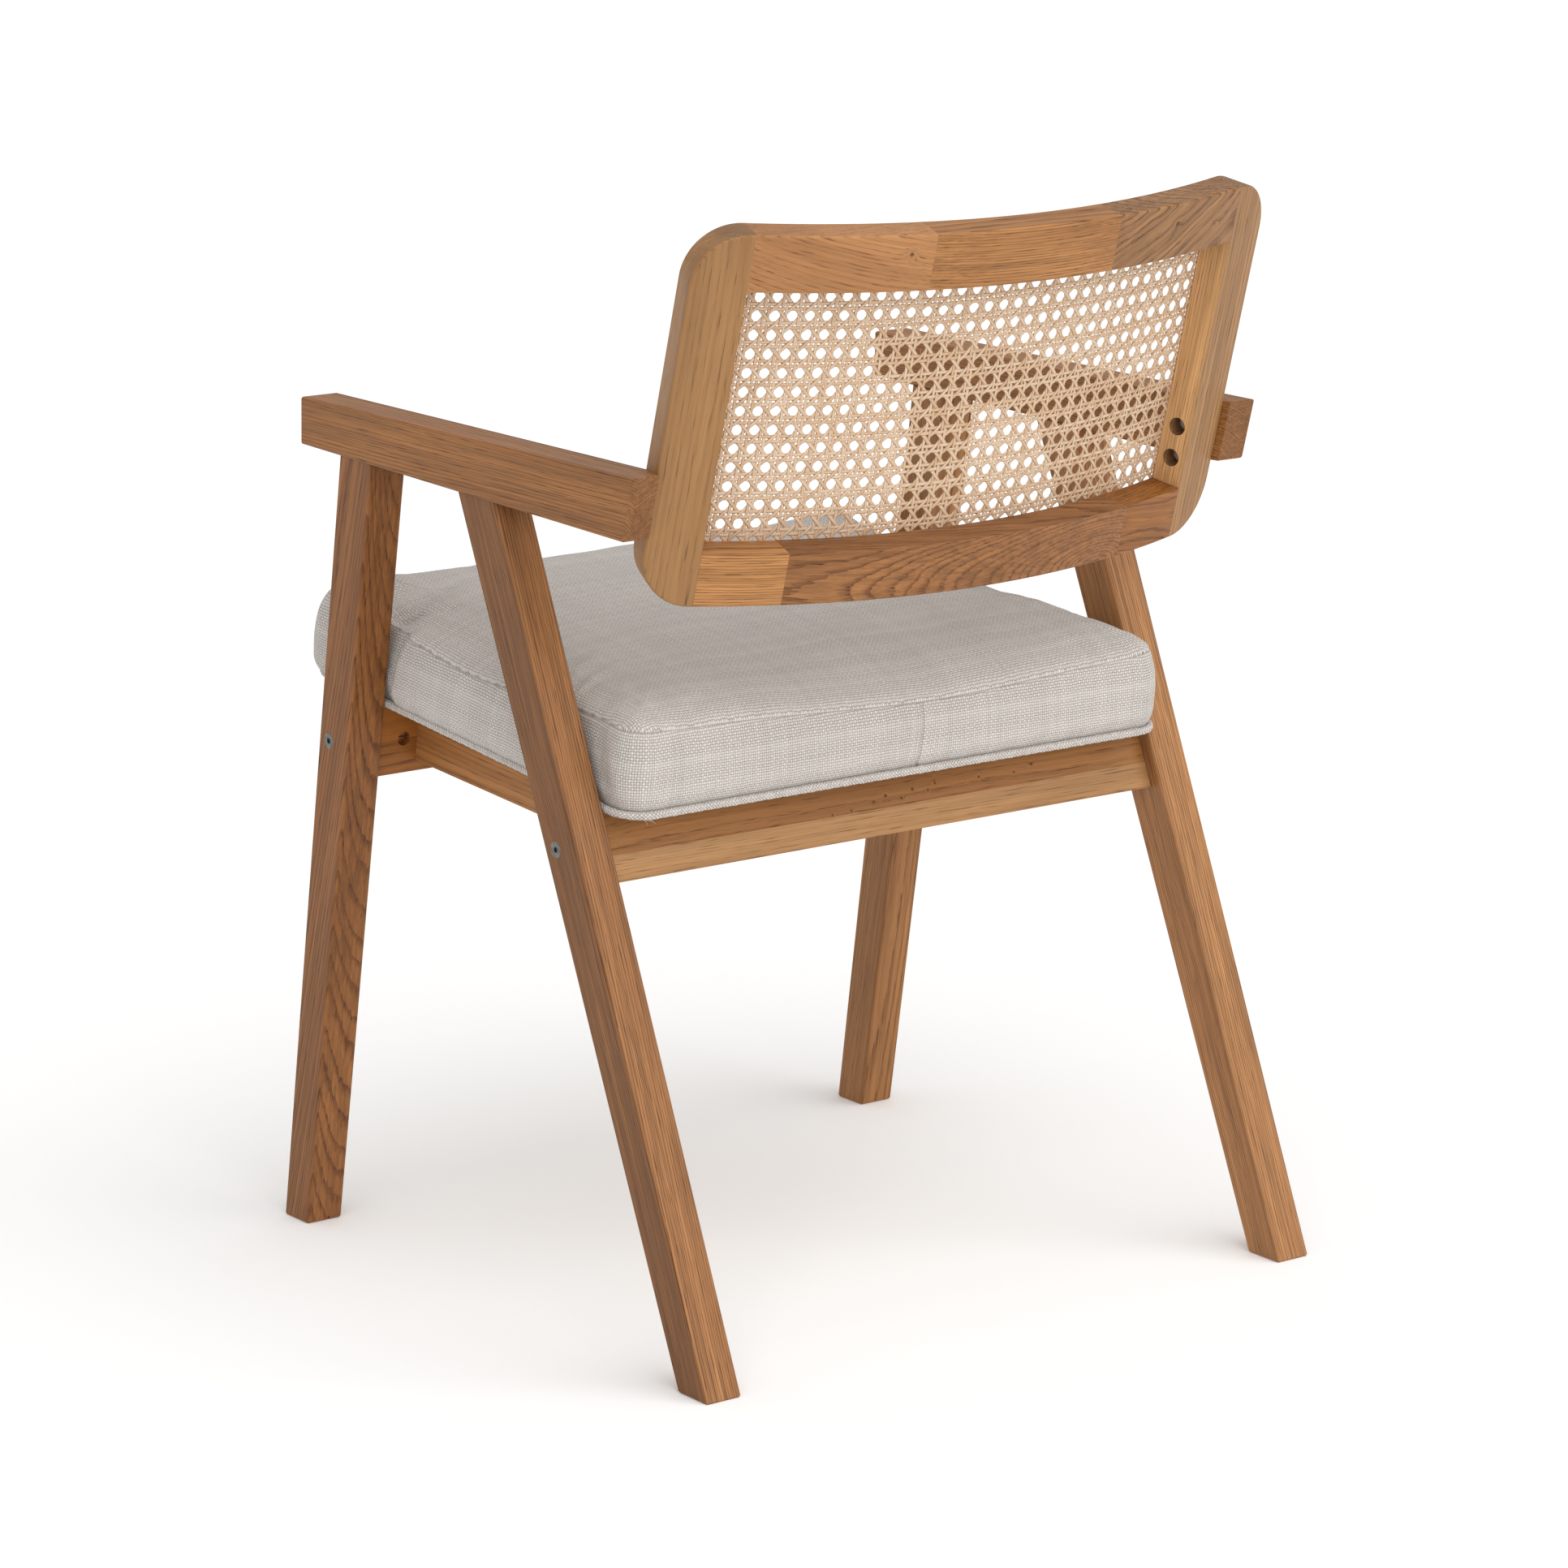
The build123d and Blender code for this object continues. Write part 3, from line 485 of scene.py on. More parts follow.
class Tubes:
    """Collects tubes and ribbons of any section into one mesh."""

    def __init__(self):
        self.points, self.faces, self.uvs, self.tones = [], [], [], []

    def add(self, path, side, out, section, scale=None, tone=0.5, closed=False, turn_u=0.0):
        """path, side and out are (n, 3); section is (k, 2) in the side and out directions."""
        path, side, out = (np.asarray(part, float) for part in (path, side, out))
        section = np.asarray(section, float)
        count, around = len(path), len(section)
        scale = np.ones(count) if scale is None else np.asarray(scale, float)
        ring = (side[:, None, :] * section[None, :, 0:1] + out[:, None, :] * section[None, :, 1:2])
        points = path[:, None, :] + ring * scale[:, None, None]
        start = sum(len(part) for part in self.points)
        self.points.append(points.reshape(-1, 3))
        steps = np.linalg.norm(np.diff(path, axis=0), axis=1)
        if closed:
            steps = np.append(steps, np.linalg.norm(path[0] - path[-1]))
        length = np.concatenate([[0.0], np.cumsum(steps)]) + turn_u
        looped = np.vstack([section, section[:1]])
        girth = np.concatenate([[0.0], np.cumsum(np.linalg.norm(np.diff(looped, axis=0), axis=1))])
        self.tones.append(np.full(count * around, tone))
        self.faces += ring_faces(count, around, start, closed)
        for i in range(len(length) - 1):
            for k in range(around):
                self.uvs += [(length[i], girth[k]), (length[i], girth[k + 1]),
                             (length[i + 1], girth[k + 1]), (length[i + 1], girth[k])]
        if not closed:
            self.uvs += [(length[0], girth[k]) for k in range(around)][::-1]
            self.uvs += [(length[-1], girth[k]) for k in range(around)]

    def make(self, name, material):
        return mesh_object(name, np.concatenate(self.points), self.faces, material, self.uvs,
                           np.concatenate(self.tones))


def ellipse(width, thickness, count):
    angles = np.arange(count) * 2 * math.pi / count
    return np.stack([np.cos(angles) * width / 2, np.sin(angles) * thickness / 2], 1)


# ---- woven cane
CANE_RADIUS = 0.7552         # middle of the woven sheet, 0.6 mm behind the frame's front face
CANE_PITCH_ACROSS = 0.0136
CANE_PITCH_UP = 0.01418
CANE_NODE = (0.2044, 0.23049)            # arc length and height of one crossing of the paired strands
CANE_HALF_ARC = 0.2213
CANE_LOW, CANE_HIGH = 0.0371, 0.2389
PAIR_ACROSS, PAIR_UP = 0.0017, 0.00195   # half the distance between the strands of a pair
UPRIGHT_STRAND, LEVEL_STRAND, DIAGONAL_STRAND = 0.0024, 0.0025, 0.0026
STRAND_THICKNESS = 0.00042
STRAND_STEP, DIAGONAL_STEP = 0.0018, 0.0014
LOOSE_FIBRES = 26
DIAGONAL_DEPTH, PAIR_DEPTH = 0.00040, 0.00021
BACK_AXES = np.array([(1.0, 0, 0), BACK_REAR, BACK_UP])  # across, rearwards and up, one in each row


def cane_points(arc, height, depth):
    """World points of the cane sheet; depth is rearwards."""
    radius = CANE_RADIUS + depth
    angle = arc / CANE_RADIUS
    places = np.stack([radius * np.sin(angle), radius * np.cos(angle) - BACK_RADIUS, height], 1)
    return np.array(BACK_ORIGIN) + places @ BACK_AXES


def cane_axes(arc, height):
    """Sideways and rearward directions of a strand that follows arc and height."""
    sine, cosine = np.sin(arc / CANE_RADIUS), np.cos(arc / CANE_RADIUS)
    d_arc, d_height = np.gradient(arc), np.gradient(height)
    size = np.hypot(d_arc, d_height)
    out = np.stack([sine, cosine, 0 * sine], 1) @ BACK_AXES
    along = np.stack([cosine * d_arc / size, -sine * d_arc / size, d_height / size], 1) @ BACK_AXES
    return np.cross(out, along), out


def cane_weave():
    rng = np.random.default_rng(4)
    tubes = Tubes()

    def strand(arc, height, depth, width):
        """One strand, with small wanders in its line and width."""
        count = len(arc)
        if count < 4:
            return
        run = np.linspace(0, 1, count)
        waves = sum(rng.normal(0, 0.00010) * np.sin(2 * math.pi * (k + 1) * 1.5 * run + rng.uniform(0, 6.3))
                    for k in range(3)) + rng.normal(0, 0.00013)
        d_arc, d_height = np.gradient(arc), np.gradient(height)
        size = np.hypot(d_arc, d_height)
        arc_moved = arc + waves * d_height / size
        height_moved = height - waves * d_arc / size
        side, out = cane_axes(arc_moved, height_moved)
        widths = rng.normal(1.0, 0.05) + 0.05 * np.sin(2 * math.pi * run * rng.uniform(2, 7) + rng.uniform(0, 6.3))
        tubes.add(cane_points(arc_moved, height_moved, depth), side, out,
                  ellipse(width, STRAND_THICKNESS, 6), widths, rng.uniform(0, 1), turn_u=rng.uniform(0, 1))

    def cell_x(arc):
        return (arc - CANE_NODE[0]) / CANE_PITCH_ACROSS

    def cell_y(height):
        return (height - CANE_NODE[1]) / CANE_PITCH_UP

    heights = np.arange(CANE_LOW, CANE_HIGH, STRAND_STEP)
    arcs = np.arange(-CANE_HALF_ARC, CANE_HALF_ARC, STRAND_STEP)
    first, last = int(cell_x(-CANE_HALF_ARC)) - 1, int(cell_x(CANE_HALF_ARC)) + 2
    for column in range(first, last):
        for sign in (-1, 1):
            arc = CANE_NODE[0] + column * CANE_PITCH_ACROSS + sign * PAIR_ACROSS
            if abs(arc) < CANE_HALF_ARC:
                depth = sign * PAIR_DEPTH * np.sin(2 * math.pi * cell_y(heights))
                strand(np.full(len(heights), arc), heights, depth, UPRIGHT_STRAND)
    low_row, high_row = int(cell_y(CANE_LOW)) - 1, int(cell_y(CANE_HIGH)) + 2
    for row in range(low_row, high_row):
        for sign in (-1, 1):
            height = CANE_NODE[1] + row * CANE_PITCH_UP + sign * PAIR_UP
            if CANE_LOW < height < CANE_HIGH:
                depth = -sign * PAIR_DEPTH * np.sin(2 * math.pi * cell_x(arcs))
                strand(arcs, np.full(len(arcs), height), depth, LEVEL_STRAND)
    span = int((last - first) + (high_row - low_row)) + 4
    for slope in (1, -1):
        for number in range(-span, span):
            x_cells = cell_x(np.arange(-CANE_HALF_ARC, CANE_HALF_ARC, DIAGONAL_STEP))
            y_cells = slope * (x_cells - number - 0.5)
            height = CANE_NODE[1] + y_cells * CANE_PITCH_UP
            arc = CANE_NODE[0] + x_cells * CANE_PITCH_ACROSS
            inside = (height > CANE_LOW) & (height < CANE_HIGH)
            swing = np.tanh(2 * np.cos(2 * math.pi * x_cells)) / math.tanh(2)
            strand(arc[inside], height[inside], slope * DIAGONAL_DEPTH * swing[inside], DIAGONAL_STRAND)
    # a few loose fibres stand off the rear of the weave
    for _ in range(LOOSE_FIBRES):
        start = np.array((rng.uniform(-0.2, 0.2), rng.uniform(0.05, 0.225)))
        way, bend, length = rng.uniform(0, 6.28), rng.normal(0, 1.2), rng.uniform(0.004, 0.010)
        run = np.linspace(0, 1, 9)
        arc = start[0] + length * run * np.cos(way + bend * run)
        height = start[1] + length * run * np.sin(way + bend * run)
        side, out = cane_axes(arc, height)
        tubes.add(cane_points(arc, height, 0.0006 + 0.0022 * run * run), side, out, ellipse(0.00022, 0.00016, 5),
                  1.0 - 0.7 * run, rng.uniform(0.5, 1))
    piece = tubes.make("cane_weave", cane_material())
    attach(piece, "root")
    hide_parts("cane_panel")


def cane_material():
    """Split rattan: long fibres, a colour for each strand, and darker stains along it."""
    graph = Graph("rattan_cane")
    along, across = graph.uv()
    tone = graph.attribute("tone")
    fibre = graph.noise(along * 60, across * 9000, tone * 90, 2.0)
    stain = graph.noise(along * 45, across * 400, tone * 57, 2.0)
    base = graph.ramp(tone * 0.75 + stain * 0.35, ((0.12, (0.700, 0.520, 0.365)), (0.5, (0.660, 0.463, 0.302)),
                                                    (0.95, (0.585, 0.378, 0.225))))
    base = graph.mix(1.0, base, graph.grey(0.86 + fibre * 0.26), "MULTIPLY")
    base = graph.mix(graph.step(stain, 0.66, 0.80) * 0.40, base, (0.300, 0.157, 0.070))
    return graph.surface(base, 0.36 + fibre * 0.18, fibre, 0.00006, 0.7, Specular_IOR_Level=0.45)


# ---- seat pad
SEAT_Z = 0.39435
SEAT_LEAN = math.atan(0.0892)
PAD_HALF_WIDTH, PAD_FRONT, PAD_REAR = 0.2546, -0.2742, 0.1310
PAD_MIDDLE = (PAD_FRONT + PAD_REAR) / 2
PAD_HALF_LENGTH = (PAD_REAR - PAD_FRONT) / 2
PAD_CORNER = 0.026
SMALLEST_CORNER = 0.0008
CORNER_STEPS = 16
STRAIGHT_STEP = 0.0025
BAND_SEAM_X = -0.016         # vertical seam in the rear of the side band
SEAM_HEIGHT = 0.058          # of the seam below the top edge, before it droops
SEAM_INSET = 0.0062
LEG_CLEAR = 0.2549           # the pad's side where a leg presses on it
LEG_MARGIN = 0.002
VOXEL_SIZE = 0.0052
LAST_FRAME = 20
SWELL_CAP = 0.0045
CLOTH_SETTINGS = dict(quality=5, mass=0.35, tension_stiffness=12, compression_stiffness=12, shear_stiffness=5,
                      bending_stiffness=0.6, use_pressure=True, uniform_pressure_force=4)
UNDER_ROWS = 10              # rows of the profile that lie under the board


def seat_world(points):
    """Pad points (across, rearwards, height above the rails) in the world."""
    x, y, h = np.asarray(points, float).T
    c, s = math.cos(SEAT_LEAN), math.sin(SEAT_LEAN)
    return np.stack([x, y * c + h * s, SEAT_Z - y * s + h * c], 1)


def straight_steps(length, extra=()):
    """Fractions along a straight side, with extra ones added, without its end."""
    plain = np.arange(0, 1, STRAIGHT_STEP / length)
    keep = [step for step in plain if not any(abs(step - more) < 0.6 * STRAIGHT_STEP / length for more in extra)]
    return np.array(sorted([*keep, *extra]))


def outline(inset):
    """Rounded rectangle, drawn in by an inset: x, y and outward normal of each point."""
    radius = max(PAD_CORNER - inset, SMALLEST_CORNER)
    half_x, half_y = PAD_HALF_WIDTH - inset - radius, PAD_HALF_LENGTH - inset - radius
    corners = ((half_x, half_y), (-half_x, half_y), (-half_x, -half_y), (half_x, -half_y), (half_x, half_y))
    whole_x, whole_y = 2 * (PAD_HALF_WIDTH - PAD_CORNER), 2 * (PAD_HALF_LENGTH - PAD_CORNER)
    seam = (whole_x / 2 - BAND_SEAM_X) / whole_x
    near_seam = [seam + shift * MM / whole_x for shift in (-3.0, -1.8, -1.1, -0.5, 0.0, 0.5, 1.1, 1.8, 3.0)]
    rear, side, front = straight_steps(whole_x, near_seam), straight_steps(whole_y), straight_steps(whole_x)
    turn = np.arange(CORNER_STEPS) / CORNER_STEPS * math.pi / 2
    x, y, angles = [], [], []
    # rear side, then anticlockwise as seen from above
    for number, steps in enumerate((rear, side, front, side)):
        (from_x, from_y), (to_x, to_y) = corners[number:number + 2]
        x += [*(from_x + (to_x - from_x) * steps), *np.full(CORNER_STEPS, to_x)]
        y += [*(from_y + (to_y - from_y) * steps), *np.full(CORNER_STEPS, to_y)]
        angle = (number + 1) % 4 * math.pi / 2
        angles += [*np.full(len(steps), angle), *(angle + turn)]
    nx, ny = np.cos(angles), np.sin(angles)
    return x + radius * nx, y + radius * ny + PAD_MIDDLE, nx, ny


def smooth_curve(knots, spacing):
    """Catmull-Rom curve through (inset, height) knots; spacing gives the step at a place on it."""
    knots = np.array(knots, float)
    padded = np.vstack([2 * knots[0] - knots[1], knots, 2 * knots[-1] - knots[-2]])
    points = []
    for i in range(len(knots) - 1):
        p0, p1, p2, p3 = padded[i:i + 4]
        length = np.linalg.norm(p2 - p1)
        count = max(1, int(round(length / spacing((p1 + p2) / 2))))
        for t in np.arange(count) / count:
            points.append(0.5 * (2 * p1 + (p2 - p0) * t + (2 * p0 - 5 * p1 + 4 * p2 - p3) * t ** 2
                                 + (3 * p1 - p0 - 3 * p2 + p3) * t ** 3))
    points.append(knots[-1])
    return np.array(points)


def bell(value, middle, width):
    return np.exp(-((value - middle) / width) ** 2)


def ease(value, low, high):
    t = np.clip((value - low) / (high - low), 0, 1)
    return t * t * (3 - 2 * t)


def seam_drop(x, y):
    """How far the top seam lies above its mean height at a place round the pad's edge."""
    side = ease(np.abs(x), PAD_HALF_WIDTH - 0.035, PAD_HALF_WIDTH - 0.008)
    rear = ease(y, PAD_REAR - 0.035, PAD_REAR - 0.008)
    front = ease(-y, -PAD_FRONT - 0.035, -PAD_FRONT - 0.008)
    along_side = 0.0045 - 0.0092 * bell(y, -0.075, 0.085) + 0.0065 * (1 - ease(y, -0.265, -0.215))
    along_rear = 0.0050 - 0.0100 * bell(x, -0.03, 0.15)
    along_front = 0.0090 - 0.0050 * bell(x, 0.0, 0.15)
    weights = side + rear + front + 1e-6
    return (side * along_side + rear * along_rear + front * along_front) / weights * np.minimum(weights, 1)


def leg_span(height):
    """Front and rear limits of the front leg and the rear leg, in the pad's frame, at a height of the pad.

    Each limit is a straight line fitted to a leg's edge, and a little clearance."""
    z = SEAT_Z + height
    return (-0.2563 + 0.1248 * z - LEG_MARGIN, -0.22495 + 0.1400 * z + LEG_MARGIN,
            0.2398 - 0.4549 * z - LEG_MARGIN, 0.2735 - 0.4372 * z + LEG_MARGIN)


def clear_of_legs(x, y, height, margin=0.0):
    """x, held off the legs' inner faces beside them."""
    front_low, front_high, rear_low, rear_high = leg_span(height)
    beside_front = (y > front_low - margin) & (y < front_high + margin)
    beside_rear = (y > rear_low - margin) & (y < rear_high + margin)
    return np.where((beside_front | beside_rear) & (np.abs(x) > LEG_CLEAR), np.sign(x) * LEG_CLEAR, x)


def pad_rows():
    """Profile from under the board, round the side and over the top: rows of (inset, height) in mm."""
    under = [(196, 3.0), (90, 3.0), (36, 3.0), (34.4, 2.8), (34, 2.2), (34, 0.6), (33.4, 0.15), (32.4, 0.0),
             (20, 0.0), (9.5, 0.0)]
    rise = smooth_curve([(7.4, 0.5), (6.2, 3.0), (5.2, 6.0), (3.2, 10.0), (1.1, 17), (0.1, 26), (0.3, 36), (1.9, 46),
                         (4.2, 53), (6.2, 58), (8.6, 61.6), (12.5, 64.8), (19, 67.8), (30, 70.5), (50, 73.2),
                         (90, 76.6), (140, 79.0), (199.5, 79.8)],
                        lambda place: 0.75 if 54 < place[1] < 62 else (1.9 if place[1] < 67 else 4.6))
    return np.vstack([under, rise]) * MM


def pad_shape(rows):
    """Base shape of the pad: arrays (rows, points) of x, y, height, and the outward normal."""
    grid = [outline(inset) for inset in rows[:, 0]]
    x, y, nx, ny = (np.array([ring[k] for ring in grid]) for k in range(4))
    inset, height = rows[:, :1], rows[:, 1:]
    edge_x, edge_y, _, _ = outline(0.0)
    drop = seam_drop(edge_x, edge_y)[None, :]
    above = height > SEAM_HEIGHT
    fade = 1 - ease(inset, 0.006, 0.105)
    share = np.where(above, fade, np.clip(height / SEAM_HEIGHT, 0, 1) ** 1.5)
    return x, y, height + drop * share, nx, ny


def pinch(x, y, height, nx):
    """x, pushed out between the legs and ahead of them, and held clear of them."""
    front_low, front_high, rear_low, rear_high = leg_span(height)
    side = ease(np.abs(nx), 0.30, 0.80)
    waist = 1 - np.abs(2 * np.clip(height / 0.070, 0, 1) - 1) ** 6
    between = ease(y, front_high, front_high + 0.009) * (1 - ease(y, rear_low - 0.035, rear_low))
    ahead = 1 - ease(y, front_low - 0.032, front_low - 0.002)
    behind = ease(y, rear_high + 0.002, rear_high + 0.022)
    out = (0.0056 * between + 0.0105 * ahead + 0.0012 * behind) * waist * side
    pressed = 1 - np.clip(between + ahead + behind, 0, 1)
    inward = 0.0012 * pressed * side * waist
    x = x + nx * (out - inward)
    return clear_of_legs(x, y, height, 0.001)


def simulate(points, faces):
    """Cloth under pressure on a remeshed copy of the pad: places before, and how far each point moves."""
    mesh = bpy.data.meshes.new("pad_copy")
    mesh.from_pydata([tuple(p) for p in seat_world(points)], [], faces)
    copy = add_object("pad_copy", mesh)
    remesh = copy.modifiers.new("remesh", "REMESH")
    remesh.mode = "VOXEL"
    remesh.voxel_size = VOXEL_SIZE
    graph = bpy.context.evaluated_depsgraph_get()
    even = bpy.data.meshes.new_from_object(copy.evaluated_get(graph))
    bpy.data.objects.remove(copy)
    cloth_object = add_object("pad_cloth", even)
    before = np.array([tuple(vertex.co) for vertex in even.vertices])
    # height of each point above the rails, to hold the bottom still
    c, s = math.cos(SEAT_LEAN), math.sin(SEAT_LEAN)
    above = before[:, 1] * s + (before[:, 2] - SEAT_Z) * c
    group = cloth_object.vertex_groups.new(name="held")
    for index, height in enumerate(above):
        weight = float(1 - ease(height, 0.006, 0.020))
        if weight > 0:
            group.add([index], weight, "REPLACE")
    cloth = cloth_object.modifiers.new("cloth", "CLOTH")
    settings = cloth.settings
    for name, value in CLOTH_SETTINGS.items():
        setattr(settings, name, value)
    settings.vertex_group_mass = "held"
    settings.effector_weights.gravity = 0
    for number in range(1, LAST_FRAME + 1):
        scene.frame_set(number)
    graph = bpy.context.evaluated_depsgraph_get()
    swollen = cloth_object.evaluated_get(graph).to_mesh()
    after = np.array([tuple(vertex.co) for vertex in swollen.vertices])
    bpy.data.objects.remove(cloth_object)
    scene.frame_set(1)
    return before, after - before


def swell(points, before, moved, cap):
    """Movement of the simulated cloth at each pad point, in the pad's frame, softly capped."""
    tree = KDTree(len(before))
    for index, place in enumerate(before):
        tree.insert(place, index)
    tree.balance()
    shift = np.zeros((len(points), 3))
    for index, place in enumerate(seat_world(points)):
        total = 0.0
        for _, found, distance in tree.find_n(place, 5):
            weight = 1 / (distance + 0.001)
            shift[index] += weight * moved[found]
            total += weight
        shift[index] /= total
    size = np.linalg.norm(shift, axis=1, keepdims=True)
    shift = shift * cap / (cap + size)
    c, s = math.cos(SEAT_LEAN), math.sin(SEAT_LEAN)
    return np.stack([shift[:, 0], shift[:, 1] * c - shift[:, 2] * s, shift[:, 1] * s + shift[:, 2] * c], 1)


def grid_uvs(u, v, loop_u):
    """Corner coordinates for ring_faces; loop_u is added where a ring closes on itself."""
    rows, count = u.shape
    corners = []
    for i in range(rows - 1):
        for k in range(count):
            m = (k + 1) % count
            more = loop_u[i] if m == 0 else 0.0
            corners += [(u[i, k], v[i, k]), (u[i, m] + more, v[i, m]),
                        (u[i + 1, m] + more, v[i + 1, m]), (u[i + 1, k], v[i + 1, k])]
    corners += [(u[0, k], v[0, k]) for k in range(count)][::-1]
    corners += [(u[-1, k], v[-1, k]) for k in range(count)]
    return corners


def folds(x, y, inset):
    """Soft waves of the top cloth, and pleats that fan out from the rear legs' corners."""
    lift = 0.0011 * np.sin(38 * x + 9 * y + 1.0) * np.sin(31 * y - 12 * x + 0.4)
    lift += 0.0007 * np.sin(75 * x - 40 * y) * np.sin(52 * y + 30 * x + 2.0)
    for sign in (-1, 1):
        for corner_y, middle_way in ((0.052, 222), (-0.205, 140)):
            dx, dy = sign * x - PAD_HALF_WIDTH, y - corner_y
            distance = np.hypot(dx, dy)
            way = np.degrees(np.arctan2(dy, dx)) % 360
            fan = bell(way, middle_way, 30)
            size = 0.0013 * ease(distance, 0.004, 0.030) * (1 - ease(distance, 0.045, 0.150))
            lift += size * fan * np.sin(np.radians(way) * 17 + 3 * distance / 0.05)
            lift -= 0.0030 * bell(distance, 0.0, 0.030)
        # a valley runs in from each front leg, where the legs squeeze the pad
        inward = PAD_HALF_WIDTH - sign * x
        off_line = y + 0.172 + 0.50 * inward
        width = np.where(off_line > 0, 0.012 + 0.10 * inward, 0.026 + 0.16 * inward)
        lift -= 0.0100 * bell(off_line, 0.0, width) * (1 - ease(inward, 0.03, 0.160))
    return lift * ease(inset, 0.004, 0.020)


def seat_pad():
    rows = pad_rows()
    x, y, height, nx, ny = pad_shape(rows)
    x = pinch(x, y, height, nx)
    shape = x.shape
    points = np.stack([x, y, height], -1).reshape(-1, 3)
    faces = ring_faces(*shape)
    before, moved = simulate(points, faces)
    shift = swell(points, before, moved, SWELL_CAP)
    hold = ease(height.ravel(), 0.008, 0.024)[:, None]
    points = points + shift * hold
    x, y, height = (points[:, k].reshape(shape) for k in range(3))
    inset, row_height = rows[:, :1], rows[:, 1:]
    top = row_height > SEAM_HEIGHT
    height = height + np.where(top, folds(x, y, inset), 0)
    # the top seam and the vertical seam are pulled in between soft lips
    along_row = np.hypot(row_height - SEAM_HEIGHT, inset - SEAM_INSET) * np.sign(row_height - SEAM_HEIGHT)
    seam = -0.0005 * bell(along_row, 0, 0.0009) + 0.0003 * bell(along_row, 0.0032, 0.0018)
    seam += 0.0002 * bell(along_row, -0.0030, 0.0016)
    edge_x, edge_y, _, _ = outline(0.0)
    rear_edge = edge_y > PAD_REAR - 1e-5
    on_rear = rear_edge[None, :] & (row_height < SEAM_HEIGHT) & (row_height > 0.004)
    # the vertical seam is bowed, and its foot lies nearer the corner
    bow = 0.0075 * (1 - np.clip(row_height / SEAM_HEIGHT, 0, 1)) ** 2 * bell(edge_x - BAND_SEAM_X, 0, 0.030)
    x = x + np.where(rear_edge, bow, 0) * ease(row_height, 0.0, 0.012)
    band = np.where(on_rear, -0.0019 * bell(edge_x - BAND_SEAM_X, 0, 0.0009)
                    + 0.0005 * bell(edge_x - BAND_SEAM_X, 0.0022, 0.0012), 0)
    # puckers beside the stitches
    run = outline_length()
    pucker = 0.00035 * np.sin(run * 2 * math.pi / 0.0121) * bell(along_row, 0.004, 0.004)
    pucker += 0.00045 * np.sin(run * 2 * math.pi / 0.031 + 1) * bell(row_height, 0.010, 0.006)
    pull = seam + band + pucker
    x = x + nx * pull
    y = y + ny * pull
    height = height + np.where(top, 0.5 * seam, 0)
    x = clear_of_legs(x, y, height)
    points = np.stack([x, y, height], -1)
    under = np.arange(shape[0])[:, None] < UNDER_ROWS
    flat = top | under
    # the band's cloth is not in line with the top's
    u = np.where(flat, x, run + 3.0)
    v = np.where(flat, y, height)
    whole = run[-1] + math.hypot(edge_x[0] - edge_x[-1], edge_y[0] - edge_y[-1])
    loop_u = np.where(flat[:, 0], 0.0, whole)
    pad = mesh_object("seat_pad_cover", seat_world(points.reshape(-1, 3)), faces, cloth_material("seat_cloth"),
                      grid_uvs(u, v, loop_u))
    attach(pad, "root")
    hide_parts("seat_cover", "seat_foam")
    return points, nx, ny, rows


def outline_length():
    """Arc length round the pad's edge at each of its points."""
    x, y, _, _ = outline(0.0)
    steps = np.hypot(np.diff(x), np.diff(y))
    return np.concatenate([[0.0], np.cumsum(steps)])


WEAVE_PITCH = 0.0020
# pitch, length and thread radius of the stitches in the top seam and above the piping
TOP_STITCH = (0.0042, 0.0027, 0.00032)
LOW_STITCH = (0.0036, 0.0022, 0.00028)
LOW_STITCH_HEIGHT = 0.0072
PIPING_PLACE = 0.0030        # inset and height of its middle
PIPING_SIZE = (0.0058, 0.0057)
THREAD_SIZE = 0.00034


def cloth_material(name, bias=0.0):
    """Plain weave of slubby threads: warp and weft take turns on top."""
    graph = Graph(name)
    u, v = graph.uv()
    if bias:
        u, v = u * math.cos(bias) + v * math.sin(bias), v * math.cos(bias) - u * math.sin(bias)
    wave = graph.noise(u * 55, v * 55, 0.0, 2.0) - 0.5
    wave_2 = graph.noise(u * 55, v * 55, 9.0, 2.0) - 0.5
    across = u * (1 / WEAVE_PITCH) + wave * 0.9
    up = v * (1 / WEAVE_PITCH) + wave_2 * 0.9
    column, row = graph.math("FLOOR", across), graph.math("FLOOR", up)
    in_column, in_row = graph.math("FRACT", across) - 0.5, graph.math("FRACT", up) - 0.5
    warp_on_top = graph.math("FLOORED_MODULO", column + row, 2.0)
    round_column = graph.math("COSINE", in_column * math.pi)
    round_row = graph.math("COSINE", in_row * math.pi)
    warp = round_column * (round_row * 0.5 + 0.5)
    weft = round_row * (round_column * 0.5 + 0.5)
    height = warp * warp_on_top + weft * (1.0 - warp_on_top)
    thread = graph.random(column) * warp_on_top + graph.random(row + 417.0) * (1.0 - warp_on_top)
    fuzz = graph.noise(u * 2600, v * 2600, 0.0, 2.0, 0.6)
    slub = graph.noise(u * 240, v * 240, 3.0, 2.0)
    broad = graph.noise(u * 14, v * 14, 5.0, 2.0)
    # painted shade and sheen: the colour is darkened where the threads dip (low height), in the gaps where shade
    # falls, and lightened on cells where the warp is on top, for light reflecting off them; thread and slub are the
    # yarn's own colour
    base = graph.ramp(height * 0.62 + thread * 0.14 + slub * 0.14 + warp_on_top * 0.14,
                      ((0.12, (0.145, 0.126, 0.111)), (0.45, (0.50, 0.459, 0.423)), (0.90, (0.745, 0.697, 0.652))))
    light = 0.80 + fuzz * 0.26 + broad * 0.14
    base = graph.mix(1.0, base, graph.grey(light), "MULTIPLY")
    return graph.surface(base, 0.90, height * 0.9 + fuzz * 0.25 + slub * 0.2, 0.00050, 0.85,
                         Sheen_Weight=0.18, Sheen_Roughness=0.55, Specular_IOR_Level=0.2)


